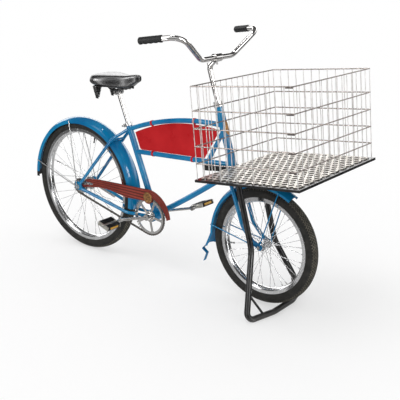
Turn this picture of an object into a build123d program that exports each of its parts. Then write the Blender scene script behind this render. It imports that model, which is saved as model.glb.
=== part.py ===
from build123d import *
from math import asin, cos, degrees, pi, radians, sin, sqrt
import os

os.makedirs("parts", exist_ok=True)

# Wheels, in millimetres: a 26 inch balloon tyre behind and a 20 inch one in front
rear_tyre_radius = 331.0
front_tyre_radius = 256.0
tyre_section = 54.0
tyre_wall = 3.5
tyre_seat = 4.0
front_wheel_lift = 9.0
wheel_base = 1081.0
rim_width = 38.0
rim_wall = 3.5
rim_shell = 2.5
rim_depth = 23.0
rim_flange = 6.0
spoke_radius = 1.0
spokes_per_flange = 18
rear_flange_y = 27.0
rear_flange_radius = 33.0
front_flange_y = 24.0
front_flange_radius = 20.5

# Main points of the frame, measured forward from the rear axle and up from the ground
bracket_x = 466.0
bracket_z = 271.0
seat_lean = 21.4
seat_tube_length = 446.0
steer_lean = 17.5
fork_rake = 67.6
head_low = 310.6
head_high = 607.4
top_tube_seat = 416.0
top_tube_head_z = 748.0
top_tube_rise = 30.0
lower_tube_seat = 307.0
lower_tube_head_z = 585.0
down_tube_head = 334.0
down_tube_sag = 9.0
strut_top_z = 733.0
strut_foot_x = 777.0

# Tubes, as outside radii and walls
head_radius = 18.0
head_bore = 16.0
main_radius = 11.1
down_radius = 12.7
seat_tube_radius = 14.3
strut_radius = 9.5
stay_radius = 8.0
tube_wall = 1.6
shell_radius = 29.0
shell_half = 34.0
shell_bore = 25.5

# Fits: running fits for shafts, weld gaps inside one body, and air between moving bodies
running_fit = 0.05
weld_gap = 0.05
seat_gap = 0.1
moving_gap = 0.4
end_play = 1.0

# Rear end and drive
dropout_inner = 55.5
dropout_thick = 5.0
dropout_reach = 31.0
rear_axle_radius = 4.75
rear_journal_radius = 9.0
chain_line = -43.0
chain_pitch = 12.7
ring_teeth = 44
cog_teeth = 18
tooth_thick = 3.0
tooth_rise = 3.4
chain_plate_gap = 4.6
chain_plate_thick = 1.0
chain_half_height = 4.2
crank_length = 178.0
crank_angle = 196.0
crank_inner = 57.0
crank_thick = 12.0
spindle_radius = 12.0
pedal_middle = 138.0
pedal_length = 84.0
pedal_spindle_radius = 6.0

# Chain guard, on the crank side between the chain and the crank arm
guard_inner = 49.5
guard_thick = 1.5
guard_rib = 1.2
guard_outer_radius = 134.0
guard_inner_radius = 99.0
medallion_radius = 26.0

# Fenders, the rear one hung a little lower than the wheel's middle
front_fender_half = 31.0
front_fender_skirt = 22.0
rear_fender_half = 36.0
rear_fender_skirt = 30.0
rear_fender_drop = 8.0
fender_crown = 12.0
fender_wall = 1.2
rear_fender_radius = 352.0
front_fender_radius = 278.0
brace_radius = 2.6
eye_radius = 12.0
eye_thick = 2.4

# Fork and front hub
blade_radius = 8.5
blade_y = 41.0
fork_end_inner = 37.0
fork_end_thick = 4.0
crown_low = 278.0
crown_high = 300.0
steerer_radius = 12.7
steerer_bore = 11.1
cup_height = 10.0
cup_radius = 21.0
front_axle_radius = 4.5
front_journal_radius = 7.0
front_axle_half = 51.0

# Carrier and basket, in a plane that tips up toward the front
carrier_rear_x = 942.0
carrier_rear_z = 593.4
carrier_tilt = 5.75
carrier_length = 476.0
carrier_width = 590.0
carrier_bar = 10.0
basket_start = 6.0
basket_end = 464.0
basket_half = 284.0
hoop_heights = (62.0, 130.0, 199.0, 268.0, 362.0)
hoop_radius = 2.4
wire_radius = 1.6
side_spaces = 12
end_spaces = 15
mesh_thick = 2.4
mesh_columns = 21
mesh_rows = 14
mesh_strand = 3.0

# Folding stand
stand_pivot_x = 993.0
stand_pivot_z = 568.0
stand_leg_y = 85.0
stand_tube_radius = 12.7
stand_bend_x = 1073.0
stand_bend_z = 268.0
stand_foot_x = 1142.0
stand_foot_y = 208.0
stand_bar_x = 1186.0
stand_bar_half = 70.0
stand_bar_z = 16.0
stand_pin_radius = 5.0

# Steering column, bar and saddle
quill_radius = 11.05
stem_clamp_x = 822.0
stem_clamp_z = 1028.0
bar_radius = 11.1
grip_radius = 14.6
grip_length = 94.0
post_radius = 11.1
post_low = 300.0
saddle_pivot = 597.0
saddle_pin_radius = 5.0
pan_z = 853.5
pan_thick = 2.5
spring_x = 158.0
spring_y = 50.0
spring_top_radius = 21.0
spring_low_radius = 8.0
spring_wire = 2.2
spring_height = 58.0
spring_turns = 8

# The shared frame has its origin under the middle of the whole length
carrier_lean = radians(carrier_tilt)
front_reach = carrier_rear_x + carrier_length * cos(carrier_lean) + carrier_bar * sin(carrier_lean)
rear_axle_x = (rear_fender_radius - front_reach) / 2


def at(x, y, z):
    """Point measured forward from the rear axle, left from the middle and up from the ground."""
    return Vector(rear_axle_x + x, y, z)


def side_plane(y):
    """Upright plane at the given y, with its own x forward and its own y up."""
    return Plane.XZ.offset(-y)


def side_point(point):
    """The forward and up values of a point, for a sketch on an upright plane."""
    return (point.X, point.Z)


def bar(start, end, radius, mode=Mode.ADD):
    """Round bar between two points, added to or cut from the part in hand."""
    run = end - start
    with Locations(Plane(origin=start, z_dir=run)):
        Cylinder(radius, run.length, align=(Align.CENTER, Align.CENTER, Align.MIN), mode=mode)


def cross_bar(point, from_y, to_y, radius, mode=Mode.ADD):
    """Round bar that runs across the bicycle at a point, from one y to another."""
    bar(Vector(point.X, from_y, point.Z), Vector(point.X, to_y, point.Z), radius, mode)


def tube(path, radius, bore=0.0, mode=Mode.ADD):
    """Round tube swept along a path, hollow if a bore radius is given."""
    with BuildSketch(Plane(origin=path @ 0, z_dir=path % 0)) as section:
        Circle(radius)
        if bore > 0:
            Circle(bore, mode=Mode.SUBTRACT)
    sweep(section.sketch, path=path, mode=mode)


def bent(points, radii):
    """Path of straight runs with rounded corners."""
    with BuildLine() as path:
        FilletPolyline(*points, radius=radii)
    return path.line


def hull_plate(spots, y, thick):
    """Flat upright plate round a few circles, each given as a point and a radius."""
    with BuildSketch(side_plane(y)) as outline:
        for point, radius in spots:
            with Locations(side_point(point)):
                Circle(radius)
        make_hull()
    extrude(outline.sketch, amount=thick, dir=(0, 1, 0))


def export(part, name):
    """Label a part and write it as one node."""
    part.label = name
    export_step(part, f"parts/{name}.step")


rear_axle_point = at(0, 0, rear_tyre_radius)
front_axle_point = at(wheel_base, 0, front_tyre_radius + front_wheel_lift)
bracket_point = at(bracket_x, 0, bracket_z)
seat_up = Vector(-sin(radians(seat_lean)), 0, cos(radians(seat_lean)))
steer_up = Vector(-sin(radians(steer_lean)), 0, cos(radians(steer_lean)))
steer_forward = Vector(cos(radians(steer_lean)), 0, sin(radians(steer_lean)))
steer_foot = front_axle_point - steer_forward * fork_rake


def on_seat(height):
    """Point on the seat tube's axis, measured up from the bottom bracket."""
    return bracket_point + seat_up * height


def on_steer(height, forward=0.0, side=0.0):
    """Point by the steering axis, measured up from the front axle's level."""
    return steer_foot + steer_up * height + steer_forward * forward + Vector(0, side, 0)


def steer_plane(height):
    """Plane square to the steering axis at a height, with its own x forward."""
    return Plane(origin=on_steer(height), x_dir=steer_forward, z_dir=steer_up)


def steer_at(z):
    """Point on the steering axis at a height above the ground."""
    return on_steer((z - steer_foot.Z) / steer_up.Z)


def wheel_plane(axle, angle):
    """Plane through a wheel's axle, with its own x outward at an angle and its own y across."""
    turn = radians(angle)
    return Plane(origin=axle, x_dir=(cos(turn), 0, sin(turn)), z_dir=(-sin(turn), 0, cos(turn)))


def wheel_point(axle, angle, radius, y):
    """Point at an angle and radius round an axle."""
    turn = radians(angle)
    return Vector(axle.X + radius * cos(turn), y, axle.Z + radius * sin(turn))


carrier_plane = Plane(
    origin=at(carrier_rear_x, 0, carrier_rear_z),
    x_dir=(cos(carrier_lean), 0, sin(carrier_lean)),
    z_dir=(-sin(carrier_lean), 0, cos(carrier_lean)),
)

# Centre lines of the main tubes
top_tube_start = on_seat(top_tube_seat)
top_tube_end = steer_at(top_tube_head_z)
top_tube_middle = (top_tube_start + top_tube_end) * 0.5 + Vector(0, 0, top_tube_rise)
lower_tube_start = on_seat(lower_tube_seat)
lower_tube_end = steer_at(lower_tube_head_z)
down_tube_end = on_steer(down_tube_head)
down_tube_middle = (bracket_point + down_tube_end) * 0.5 - Vector(0, 0, down_tube_sag)
strut_top = steer_at(strut_top_z)
lower_tube_run = lower_tube_end - lower_tube_start
strut_share = (strut_foot_x + rear_axle_x - lower_tube_start.X) / lower_tube_run.X
strut_foot = lower_tube_start + lower_tube_run * strut_share
with BuildLine(Plane.XY) as top_tube_line:
    ThreePointArc(top_tube_start, top_tube_middle, top_tube_end)
with BuildLine(Plane.XY) as down_tube_line:
    ThreePointArc(bracket_point, down_tube_middle, down_tube_end)


def cut_head_tube():
    """Trim the part in hand where it meets the head tube."""
    bar(on_steer(head_low), on_steer(head_high), head_radius + weld_gap, Mode.SUBTRACT)


def cut_seat_tube():
    """Trim the part in hand where it meets the seat tube."""
    bar(on_seat(0), on_seat(seat_tube_length), seat_tube_radius + weld_gap, Mode.SUBTRACT)


def cut_bracket_shell():
    """Trim the part in hand where it meets the bottom bracket shell."""
    cross_bar(bracket_point, -shell_half - 1, shell_half + 1, shell_radius + weld_gap, Mode.SUBTRACT)


# Head tube
with BuildPart() as head_tube:
    bar(on_steer(head_low), on_steer(head_high), head_radius)
    bar(on_steer(head_low), on_steer(head_high), head_bore, Mode.SUBTRACT)
export(head_tube.part, "head_tube")

# Seat tube, bored for the sliding seat post
with BuildPart() as seat_tube:
    bar(on_seat(0), on_seat(seat_tube_length), seat_tube_radius)
    bar(on_seat(0), on_seat(seat_tube_length), post_radius + running_fit, Mode.SUBTRACT)
    cut_bracket_shell()
export(seat_tube.part, "seat_tube")

# Top tube, a shallow arch from the seat tube to the head tube
with BuildPart() as top_tube:
    tube(top_tube_line.line, main_radius, main_radius - tube_wall)
    cut_seat_tube()
    cut_head_tube()
export(top_tube.part, "top_tube")

# Down tube, with a slight sag toward the ground
with BuildPart() as down_tube:
    tube(down_tube_line.line, down_radius, down_radius - tube_wall)
    cut_bracket_shell()
    cut_head_tube()
export(down_tube.part, "down_tube")

# Lower tube, under the sign panel
with BuildPart() as lower_tube:
    bar(lower_tube_start, lower_tube_end, main_radius)
    bar(lower_tube_start, lower_tube_end, main_radius - tube_wall, Mode.SUBTRACT)
    cut_seat_tube()
    cut_head_tube()
    tube(down_tube_line.line, down_radius + weld_gap, mode=Mode.SUBTRACT)
export(lower_tube.part, "lower_tube")

# Short strut from the head tube down to the lower tube
with BuildPart() as head_strut:
    bar(strut_top, strut_foot, strut_radius)
    bar(strut_top, strut_foot, strut_radius - tube_wall, Mode.SUBTRACT)
    cut_head_tube()
    bar(lower_tube_start, lower_tube_end, main_radius + weld_gap, Mode.SUBTRACT)
    tube(top_tube_line.line, main_radius + weld_gap, mode=Mode.SUBTRACT)
export(head_strut.part, "head_strut")

# Bottom bracket shell
with BuildPart() as bottom_bracket_shell:
    cross_bar(bracket_point, -shell_half, shell_half, shell_radius)
    cross_bar(bracket_point, -shell_half, shell_half, shell_bore, Mode.SUBTRACT)
export(bottom_bracket_shell.part, "bottom_bracket_shell")

# Chain stays: straight from the dropout, then level into the bottom bracket shell
stay_y = dropout_inner + dropout_thick / 2
chain_stay_inset = 8.0
chain_stay_drop = 6.0
chain_stay_corner = at(315, 0, 256)
chain_stay_end = at(bracket_x - chain_stay_inset, 0, bracket_z - chain_stay_drop)
chain_stay_corner_y = 36.0
chain_stay_end_y = 25.0
chain_stay_aim = (chain_stay_corner - rear_axle_point).normalized()
chain_stay_start = rear_axle_point + chain_stay_aim * (dropout_reach + seat_gap)
chain_stay_bend = 110.0


def chain_stay_line(side):
    """Centre line of the chain stay on one side."""
    points = (
        chain_stay_start + Vector(0, side * stay_y, 0),
        chain_stay_corner + Vector(0, side * chain_stay_corner_y, 0),
        chain_stay_end + Vector(0, side * chain_stay_end_y, 0),
    )
    return bent(points, (chain_stay_bend,))


with BuildPart() as chain_stays:
    for side in (-1, 1):
        tube(chain_stay_line(side), stay_radius, stay_radius - tube_wall)
    cut_bracket_shell()
export(chain_stays.part, "chain_stays")

# Seat stays: they leave the seat tube beside the top tube, bend over the fender and run to the dropouts
seat_stay_radius = 7.5
seat_stay_corner = at(238, 0, 606)
seat_stay_corner_y = 45.0
seat_stay_top_y = 12.0
seat_stay_aim = (seat_stay_corner - rear_axle_point).normalized()
seat_stay_start = rear_axle_point + seat_stay_aim * (dropout_reach + seat_gap)
bridge_radius = 5.0
bridge_reach = rear_fender_radius + bridge_radius + seat_gap
bridge_fall = rear_fender_drop * seat_stay_aim.Z
bridge_run = sqrt(bridge_reach**2 - rear_fender_drop**2 + bridge_fall**2) - bridge_fall
bridge_point = rear_axle_point + seat_stay_aim * bridge_run
seat_stay_bend = 90.0


def seat_stay_line(side):
    """Centre line of the seat stay on one side."""
    points = (
        seat_stay_start + Vector(0, side * stay_y, 0),
        seat_stay_corner + Vector(0, side * seat_stay_corner_y, 0),
        top_tube_start + Vector(0, side * seat_stay_top_y, 0),
    )
    return bent(points, (seat_stay_bend,))


with BuildPart() as seat_stays:
    for side in (-1, 1):
        tube(seat_stay_line(side), seat_stay_radius, seat_stay_radius - tube_wall)
    cut_seat_tube()
    tube(top_tube_line.line, main_radius + weld_gap, mode=Mode.SUBTRACT)
export(seat_stays.part, "seat_stays")

# Bridge between the seat stays, which holds the top of the rear fender
with BuildPart() as fender_bridge:
    cross_bar(bridge_point, -seat_stay_corner_y, seat_stay_corner_y, bridge_radius)
    for side in (-1, 1):
        tube(seat_stay_line(side), seat_stay_radius + weld_gap, mode=Mode.SUBTRACT)
export(fender_bridge.part, "fender_bridge")

# Rear dropouts: one plate a side, with the axle hole and an eyelet for the fender braces
eyelet_radius = 2.6
eyelet_boss = 6.5
eyelet_angle = 120.0
eyelet_reach = 24.0
eyelet_point = wheel_point(rear_axle_point, eyelet_angle, eyelet_reach, 0)
dropout_radius = 15.0
plate_end_radius = 8.5
plate_arm = dropout_reach - plate_end_radius
with BuildPart() as rear_dropouts:
    for inner_y in (dropout_inner, -dropout_inner - dropout_thick):
        plate_spots = (
            (rear_axle_point, dropout_radius),
            (rear_axle_point + chain_stay_aim * plate_arm, plate_end_radius),
            (rear_axle_point + seat_stay_aim * plate_arm, plate_end_radius),
            (eyelet_point, eyelet_boss),
        )
        hull_plate(plate_spots, inner_y, dropout_thick)
        axle_hole = rear_axle_radius + seat_gap
        cross_bar(rear_axle_point, inner_y, inner_y + dropout_thick, axle_hole, Mode.SUBTRACT)
        cross_bar(eyelet_point, inner_y, inner_y + dropout_thick, eyelet_radius, Mode.SUBTRACT)
export(rear_dropouts.part, "rear_dropouts")

# Headset cups, pressed into both ends of the head tube
cup_spigot = 9.0
with BuildPart() as headset_cups:
    bar(on_steer(head_low - cup_height), on_steer(head_low), cup_radius)
    bar(on_steer(head_low), on_steer(head_low + cup_spigot), head_bore - weld_gap)
    bar(on_steer(head_high), on_steer(head_high + cup_height), cup_radius)
    bar(on_steer(head_high - cup_spigot), on_steer(head_high), head_bore - weld_gap)
    bar(
        on_steer(head_low - cup_height),
        on_steer(head_high + cup_height),
        steerer_radius + running_fit,
        Mode.SUBTRACT,
    )
export(headset_cups.part, "headset_cups")

# Bottom bracket cups, which carry the crank spindle
bracket_cup_depth = 12.0
bracket_lip_height = 3.0
bracket_lip_radius = 23.5
cup_start = shell_half - bracket_cup_depth
cup_end = shell_half + bracket_lip_height
with BuildPart() as bottom_bracket_cups:
    for side in (-1, 1):
        cross_bar(bracket_point, side * cup_start, side * shell_half, shell_bore - weld_gap)
        cross_bar(bracket_point, side * shell_half, side * cup_end, bracket_lip_radius)
    cross_bar(bracket_point, -cup_end, cup_end, spindle_radius + running_fit, Mode.SUBTRACT)
export(bottom_bracket_cups.part, "bottom_bracket_cups")

# Seat clamp: a collar round the top of the seat tube with a bolt behind it
collar_height = 15.0
collar_wall = 3.0
collar_radius = seat_tube_radius + collar_wall
clamp_ear_width = 16.0
clamp_ear_reach = 14.0
clamp_bolt_radius = 3.5
clamp_bolt_length = 40.0
collar_plane = Plane(origin=on_seat(seat_tube_length - collar_height), x_dir=(0, 1, 0), z_dir=seat_up)
with BuildPart(collar_plane) as seat_clamp:
    with BuildSketch(collar_plane):
        Circle(collar_radius)
        with Locations((0, collar_radius + collar_wall)):
            Rectangle(clamp_ear_width, clamp_ear_reach)
        Circle(seat_tube_radius + weld_gap, mode=Mode.SUBTRACT)
    extrude(amount=collar_height)
    with Locations(Location((0, collar_radius + clamp_ear_reach / 2, collar_height / 2), (0, 90, 0))):
        Cylinder(clamp_bolt_radius, clamp_bolt_length)
export(seat_clamp.part, "seat_clamp")

# Sign panel between the tubes, with four straps that hold it
panel_half = 1.5
panel_air = 7.0
panel_slip = 1.0
strap_width = 10.0
strap_wall = 1.6
strut_aim = (strut_foot - strut_top).normalized()
strut_square = Vector(-strut_aim.Z, 0, strut_aim.X)
strut_back = strut_square * (-1 if strut_square.X > 0 else 1)
seat_front = Vector(cos(radians(seat_lean)), 0, sin(radians(seat_lean)))
panel_rear = seat_front * (seat_tube_radius + 2 * panel_air)
panel_drop = main_radius + panel_slip
panel_front = strut_back * (strut_radius + panel_air)
panel_rear_height = 394.0
panel_low_height = 310.4
panel_front_drop = 18.0
panel_front_sink = 9.4
panel_corner = 14.0
panel_corner_share = 0.22
panel_top = (
    on_seat(panel_rear_height) + panel_rear,
    top_tube_middle - Vector(0, 0, panel_drop),
    strut_top + strut_aim * panel_front_drop + panel_front,
)
panel_low_rear = on_seat(panel_low_height) + panel_rear
panel_low_front = strut_foot + strut_aim * panel_front_sink + panel_front + Vector(0, 0, panel_drop)
panel_low_turn = panel_low_rear + (panel_low_front - panel_low_rear).normalized() * panel_corner
panel_rear_turn = panel_low_rear + (panel_top[0] - panel_low_rear).normalized() * panel_corner
panel_chords = panel_low_turn + panel_rear_turn - panel_low_rear * 2
panel_round = panel_low_rear + panel_chords * panel_corner_share
top_straps = (0.27, 0.72)
low_straps = (0.19, 0.61)
with BuildPart() as sign_panel:
    with BuildSketch(side_plane(0)):
        with BuildLine():
            ThreePointArc(*[side_point(point) for point in panel_top])
            Polyline(side_point(panel_top[2]), side_point(panel_low_front), side_point(panel_low_turn))
            ThreePointArc(side_point(panel_low_turn), side_point(panel_round), side_point(panel_rear_turn))
            Line(side_point(panel_rear_turn), side_point(panel_top[0]))
        make_face()
    extrude(amount=panel_half, both=True)
    for share in top_straps:
        strap_plane = Plane(origin=top_tube_line.line @ share, z_dir=top_tube_line.line % share)
        with Locations(strap_plane):
            Cylinder(main_radius + seat_gap + strap_wall, strap_width)
        with Locations(top_tube_line.line @ share - Vector(0, 0, panel_drop)):
            Box(strap_width, 2 * panel_half, panel_drop)
    for share in low_straps:
        strap_plane = Plane(origin=lower_tube_start + lower_tube_run * share, z_dir=lower_tube_run)
        with Locations(strap_plane):
            Cylinder(main_radius + seat_gap + strap_wall, strap_width)
        with Locations(lower_tube_start + lower_tube_run * share + Vector(0, 0, panel_drop)):
            Box(strap_width, 2 * panel_half, panel_drop)
    tube(top_tube_line.line, main_radius + seat_gap, mode=Mode.SUBTRACT)
    bar(lower_tube_start, lower_tube_end, main_radius + seat_gap, Mode.SUBTRACT)
export(sign_panel.part, "sign_panel")

# Chain guard: a long ribbed plate that widens into a hood over the front of the chainring
hood_end_angle = 6.0
hood_top_angle = 97.0
hood_lip_angle = 2.0
hood_lip_radius = 111.0
hood_root_angle = 70.0
medallion_point = bracket_point + Vector(-2, 0, 93)
medallion_border = 4.0
guard_outer_y = -guard_inner - guard_thick
guard_low_edge = ((446, 344), (317, 338), (218, 353), (150, 353), (78, 342), (22, 332))
guard_fork = ((22, 344), (60, 351), (94, 354), (100, 360), (94, 366), (52, 366))
guard_high_edge = ((49, 378), (81, 385), (150, 393), (287, 398), (417, 402))
guard_ribs = (((115, 382), (432, 388)), ((115, 372), (432, 373)), ((205, 363), (432, 358)))
hood_rib_radii = (125, 116, 107)
hood_rib_angles = (66, 40, 10)
guard_clip_radius = 4.0
guard_clip_sink = 4.0
guard_clip_point = on_seat(124)
guard_stud_point = at(22, 0, 338)
guard_stud_radius = 3.5
guard_end_radius = 6.0


def hood_point(angle, radius):
    """Forward and up values of a point round the bottom bracket."""
    return side_point(wheel_point(bracket_point, angle, radius, 0))


def hood_arc(radius):
    """Arc along the hood's outer face at a radius round the bottom bracket."""
    with BuildLine() as arc:
        hood_points = [wheel_point(bracket_point, angle, radius, guard_outer_y) for angle in hood_rib_angles]
        ThreePointArc(*hood_points)
    return arc.line


with BuildPart() as chain_guard:
    with BuildSketch(side_plane(guard_outer_y)):
        with BuildLine():
            hood_outer = ThreePointArc(
                hood_point(hood_top_angle, guard_outer_radius),
                hood_point((hood_top_angle + hood_end_angle) / 2, guard_outer_radius),
                hood_point(hood_end_angle, guard_outer_radius),
            )
            hood_inner = ThreePointArc(
                hood_point(hood_lip_angle, hood_lip_radius),
                hood_point(hood_top_angle / 2, guard_inner_radius),
                hood_point(hood_root_angle, guard_inner_radius),
            )
            Line(hood_outer @ 1, hood_inner @ 0)
            guard_points = guard_low_edge + guard_fork + guard_high_edge
            guard_edge = [side_point(at(x, 0, z)) for x, z in guard_points]
            Polyline(hood_inner @ 1, *guard_edge, hood_outer @ 0)
        make_face()
        with Locations(side_point(medallion_point)):
            Circle(medallion_radius + medallion_border)
        with Locations(side_point(guard_stud_point)):
            Circle(guard_end_radius)
    extrude(amount=guard_thick, dir=(0, 1, 0))
    for (start_x, start_z), (end_x, end_z) in guard_ribs:
        bar(at(start_x, guard_outer_y, start_z), at(end_x, guard_outer_y, end_z), guard_rib)
    for rib_radius in hood_rib_radii:
        tube(hood_arc(rib_radius), guard_rib)
    cross_bar(guard_clip_point, -guard_inner, -seat_tube_radius + guard_clip_sink, guard_clip_radius)
    cut_seat_tube()
    cross_bar(guard_stud_point, -guard_inner, -dropout_inner + weld_gap, guard_stud_radius)
    tube(seat_stay_line(-1), seat_stay_radius + weld_gap, mode=Mode.SUBTRACT)
export(chain_guard.part, "chain_guard")

# Plain badges: a round one on the chain guard and an upright one on the head tube
badge_thick = 1.4
head_badge_z = 735.0
head_badge_height = 60.0
head_badge_width = 26.0
badge_inner = head_radius + seat_gap
medallion_back = guard_outer_y - seat_gap
with BuildPart() as badges:
    cross_bar(medallion_point, medallion_back, medallion_back - badge_thick, medallion_radius)
    with BuildSketch(Plane(origin=steer_at(head_badge_z), x_dir=steer_forward, z_dir=steer_up)):
        Circle(badge_inner + badge_thick)
        Circle(badge_inner, mode=Mode.SUBTRACT)
        with Locations((sqrt(badge_inner**2 - (head_badge_width / 2) ** 2), 0)):
            Rectangle(4 * badge_inner, 4 * badge_inner, align=(Align.MAX, Align.CENTER), mode=Mode.SUBTRACT)
    extrude(amount=head_badge_height / 2, both=True)
export(badges.part, "badges")

# Drive chain: two bands of side plates round both sprockets, joined by rollers on the straight runs
ring_pitch_radius = chain_pitch / (2 * sin(pi / ring_teeth))
cog_pitch_radius = chain_pitch / (2 * sin(pi / cog_teeth))
roller_radius = 3.9
drive_run = bracket_point - rear_axle_point
drive_angle = degrees(asin(drive_run.Z / drive_run.length))
wrap_angle = degrees(asin((ring_pitch_radius - cog_pitch_radius) / drive_run.length))
rollers_per_run = 30
plate_inner = chain_plate_gap / 2
plate_outer = plate_inner + chain_plate_thick


def loop_face(offset, y):
    """Face inside a belt round both pitch circles, moved outward by an offset."""
    with BuildSketch(side_plane(y)) as loop:
        with Locations(side_point(rear_axle_point)):
            Circle(cog_pitch_radius + offset)
        with Locations(side_point(bracket_point)):
            Circle(ring_pitch_radius + offset)
        make_hull()
    return loop.sketch


with BuildPart() as chain:
    for plate_y in (chain_line - plate_outer, chain_line + plate_inner):
        extrude(loop_face(chain_half_height, plate_y), amount=chain_plate_thick, dir=(0, 1, 0))
    for plate_y in (chain_line - plate_outer, chain_line + plate_inner):
        extrude(
            loop_face(-chain_half_height, plate_y),
            amount=chain_plate_thick,
            dir=(0, 1, 0),
            mode=Mode.SUBTRACT,
        )
    for turn in (90 + wrap_angle + drive_angle, drive_angle - 90 - wrap_angle):
        run_start = wheel_point(rear_axle_point, turn, cog_pitch_radius, 0)
        run_end = wheel_point(bracket_point, turn, ring_pitch_radius, 0)
        run_step = (run_end - run_start).normalized() * chain_pitch
        run_first = (run_start + run_end) * 0.5 - run_step * ((rollers_per_run - 1) / 2)
        for index in range(rollers_per_run):
            roller_point = run_first + run_step * index
            cross_bar(roller_point, chain_line - plate_inner, chain_line + plate_inner, roller_radius)
export(chain.part, "chain")


def fender_profile(middle, radius, half, skirt, angle):
    """Section of a rolled fender at an angle round its middle, with a crown and skirts."""
    with BuildSketch(wheel_plane(middle, angle)) as profile:
        with BuildLine():
            outer_side = half
            inner_side = half - fender_wall
            crown = ThreePointArc(
                (radius - fender_crown, -outer_side), (radius, 0), (radius - fender_crown, outer_side)
            )
            lining = ThreePointArc(
                (radius - fender_crown, -inner_side),
                (radius - fender_wall, 0),
                (radius - fender_crown, inner_side),
            )
            Polyline(
                crown @ 1,
                (radius - skirt, outer_side),
                (radius - skirt, inner_side),
                lining @ 1,
            )
            Polyline(
                crown @ 0,
                (radius - skirt, -outer_side),
                (radius - skirt, -inner_side),
                lining @ 0,
            )
        make_face()
    return profile.sketch


def fender(middle, radius, half, skirt, start_angle, end_angle):
    """Rolled fender shell round its middle between two angles."""
    profile = fender_profile(middle, radius, half, skirt, start_angle)
    revolve(profile, axis=Axis(middle, (0, -1, 0)), revolution_arc=end_angle - start_angle)


def fender_braces(axle, middle, reach, half, angles, eye_y, bolt_radius, lean):
    """Round rods on both sides, from an eye on the axle to the fender's skirts at a reach from its middle."""
    skirt_y = half + brace_radius + seat_gap
    for side in (-1, 1):
        eye_outer = side * (eye_y + eye_thick)
        for angle in angles:
            start = wheel_point(axle, angle, eye_radius - brace_radius, side * (eye_y + brace_radius + lean))
            bar(start, wheel_point(middle, angle, reach, side * skirt_y), brace_radius)
        cross_bar(axle, side * eye_y, eye_outer, eye_radius)
        cross_bar(axle, eye_outer, eye_outer + side * eye_radius, eye_radius - seat_gap, Mode.SUBTRACT)
        cross_bar(axle, side * eye_y, eye_outer, bolt_radius + seat_gap, Mode.SUBTRACT)


def hex_nut(axle, y, height, flats):
    """Six-sided nut on an axle, standing outward from the given y."""
    with BuildSketch(side_plane(y)) as outline:
        with Locations(side_point(axle)):
            RegularPolygon(flats / 2, 6, major_radius=False)
    extrude(outline.sketch, amount=height, dir=(0, 1 if y > 0 else -1, 0))


# Rear fender, from behind the seat tube over the wheel to the tail
rear_fender_start = -8.0
rear_fender_end = 180.0
rear_fender_middle = rear_axle_point - Vector(0, 0, rear_fender_drop)
rear_brace_angles = (101.4, 164.7)
rear_brace_lean = 2.0
with BuildPart() as rear_fender:
    fender(
        rear_fender_middle,
        rear_fender_radius,
        rear_fender_half,
        rear_fender_skirt,
        rear_fender_start,
        rear_fender_end,
    )
export(rear_fender.part, "rear_fender")

rear_eye_y = dropout_inner + dropout_thick + seat_gap
with BuildPart() as rear_fender_braces:
    fender_braces(
        rear_axle_point,
        rear_fender_middle,
        rear_fender_radius - rear_fender_skirt / 2,
        rear_fender_half,
        rear_brace_angles,
        rear_eye_y,
        rear_axle_radius,
        rear_brace_lean,
    )
export(rear_fender_braces.part, "rear_fender_braces")

# Rear axle with its journal, spacers and nuts, which stay with the frame
rear_axle_half = 80.0
rear_journal_half = 50.5
rear_nut_flats = 15.0
nut_height = 8.0
brake_arm_thick = 3.5
washer_radius = 8.0
with BuildPart() as rear_axle:
    cross_bar(rear_axle_point, -rear_axle_half, rear_axle_half, rear_axle_radius)
    cross_bar(rear_axle_point, -rear_journal_half, rear_journal_half, rear_journal_radius)
    cross_bar(rear_axle_point, -dropout_inner + seat_gap, -rear_journal_half, washer_radius)
    for side in (-1, 1):
        hex_nut(rear_axle_point, side * (rear_eye_y + eye_thick + seat_gap), nut_height, rear_nut_flats)
export(rear_axle.part, "rear_axle")

# Brake arm of the coaster hub, clipped under the left chain stay
brake_arm_y = rear_journal_half + seat_gap
brake_arm_end = at(140, 0, 281)
brake_arm_hub = 14.0
brake_arm_tip = 6.0
brake_tab = 16.0
with BuildPart() as brake_arm:
    brake_arm_eyes = ((rear_axle_point, brake_arm_hub), (brake_arm_end, brake_arm_tip))
    hull_plate(brake_arm_eyes, brake_arm_y, brake_arm_thick)
    cross_bar(rear_axle_point, 0, 2 * brake_arm_y, rear_axle_radius + seat_gap, Mode.SUBTRACT)
    with Locations(brake_arm_end + Vector(0, brake_arm_y + brake_arm_thick / 2, brake_tab / 2)):
        Box(2 * brake_arm_tip, brake_arm_thick, brake_tab)
    tube(chain_stay_line(1), stay_radius + weld_gap, mode=Mode.SUBTRACT)
export(brake_arm.part, "brake_arm")

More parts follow.
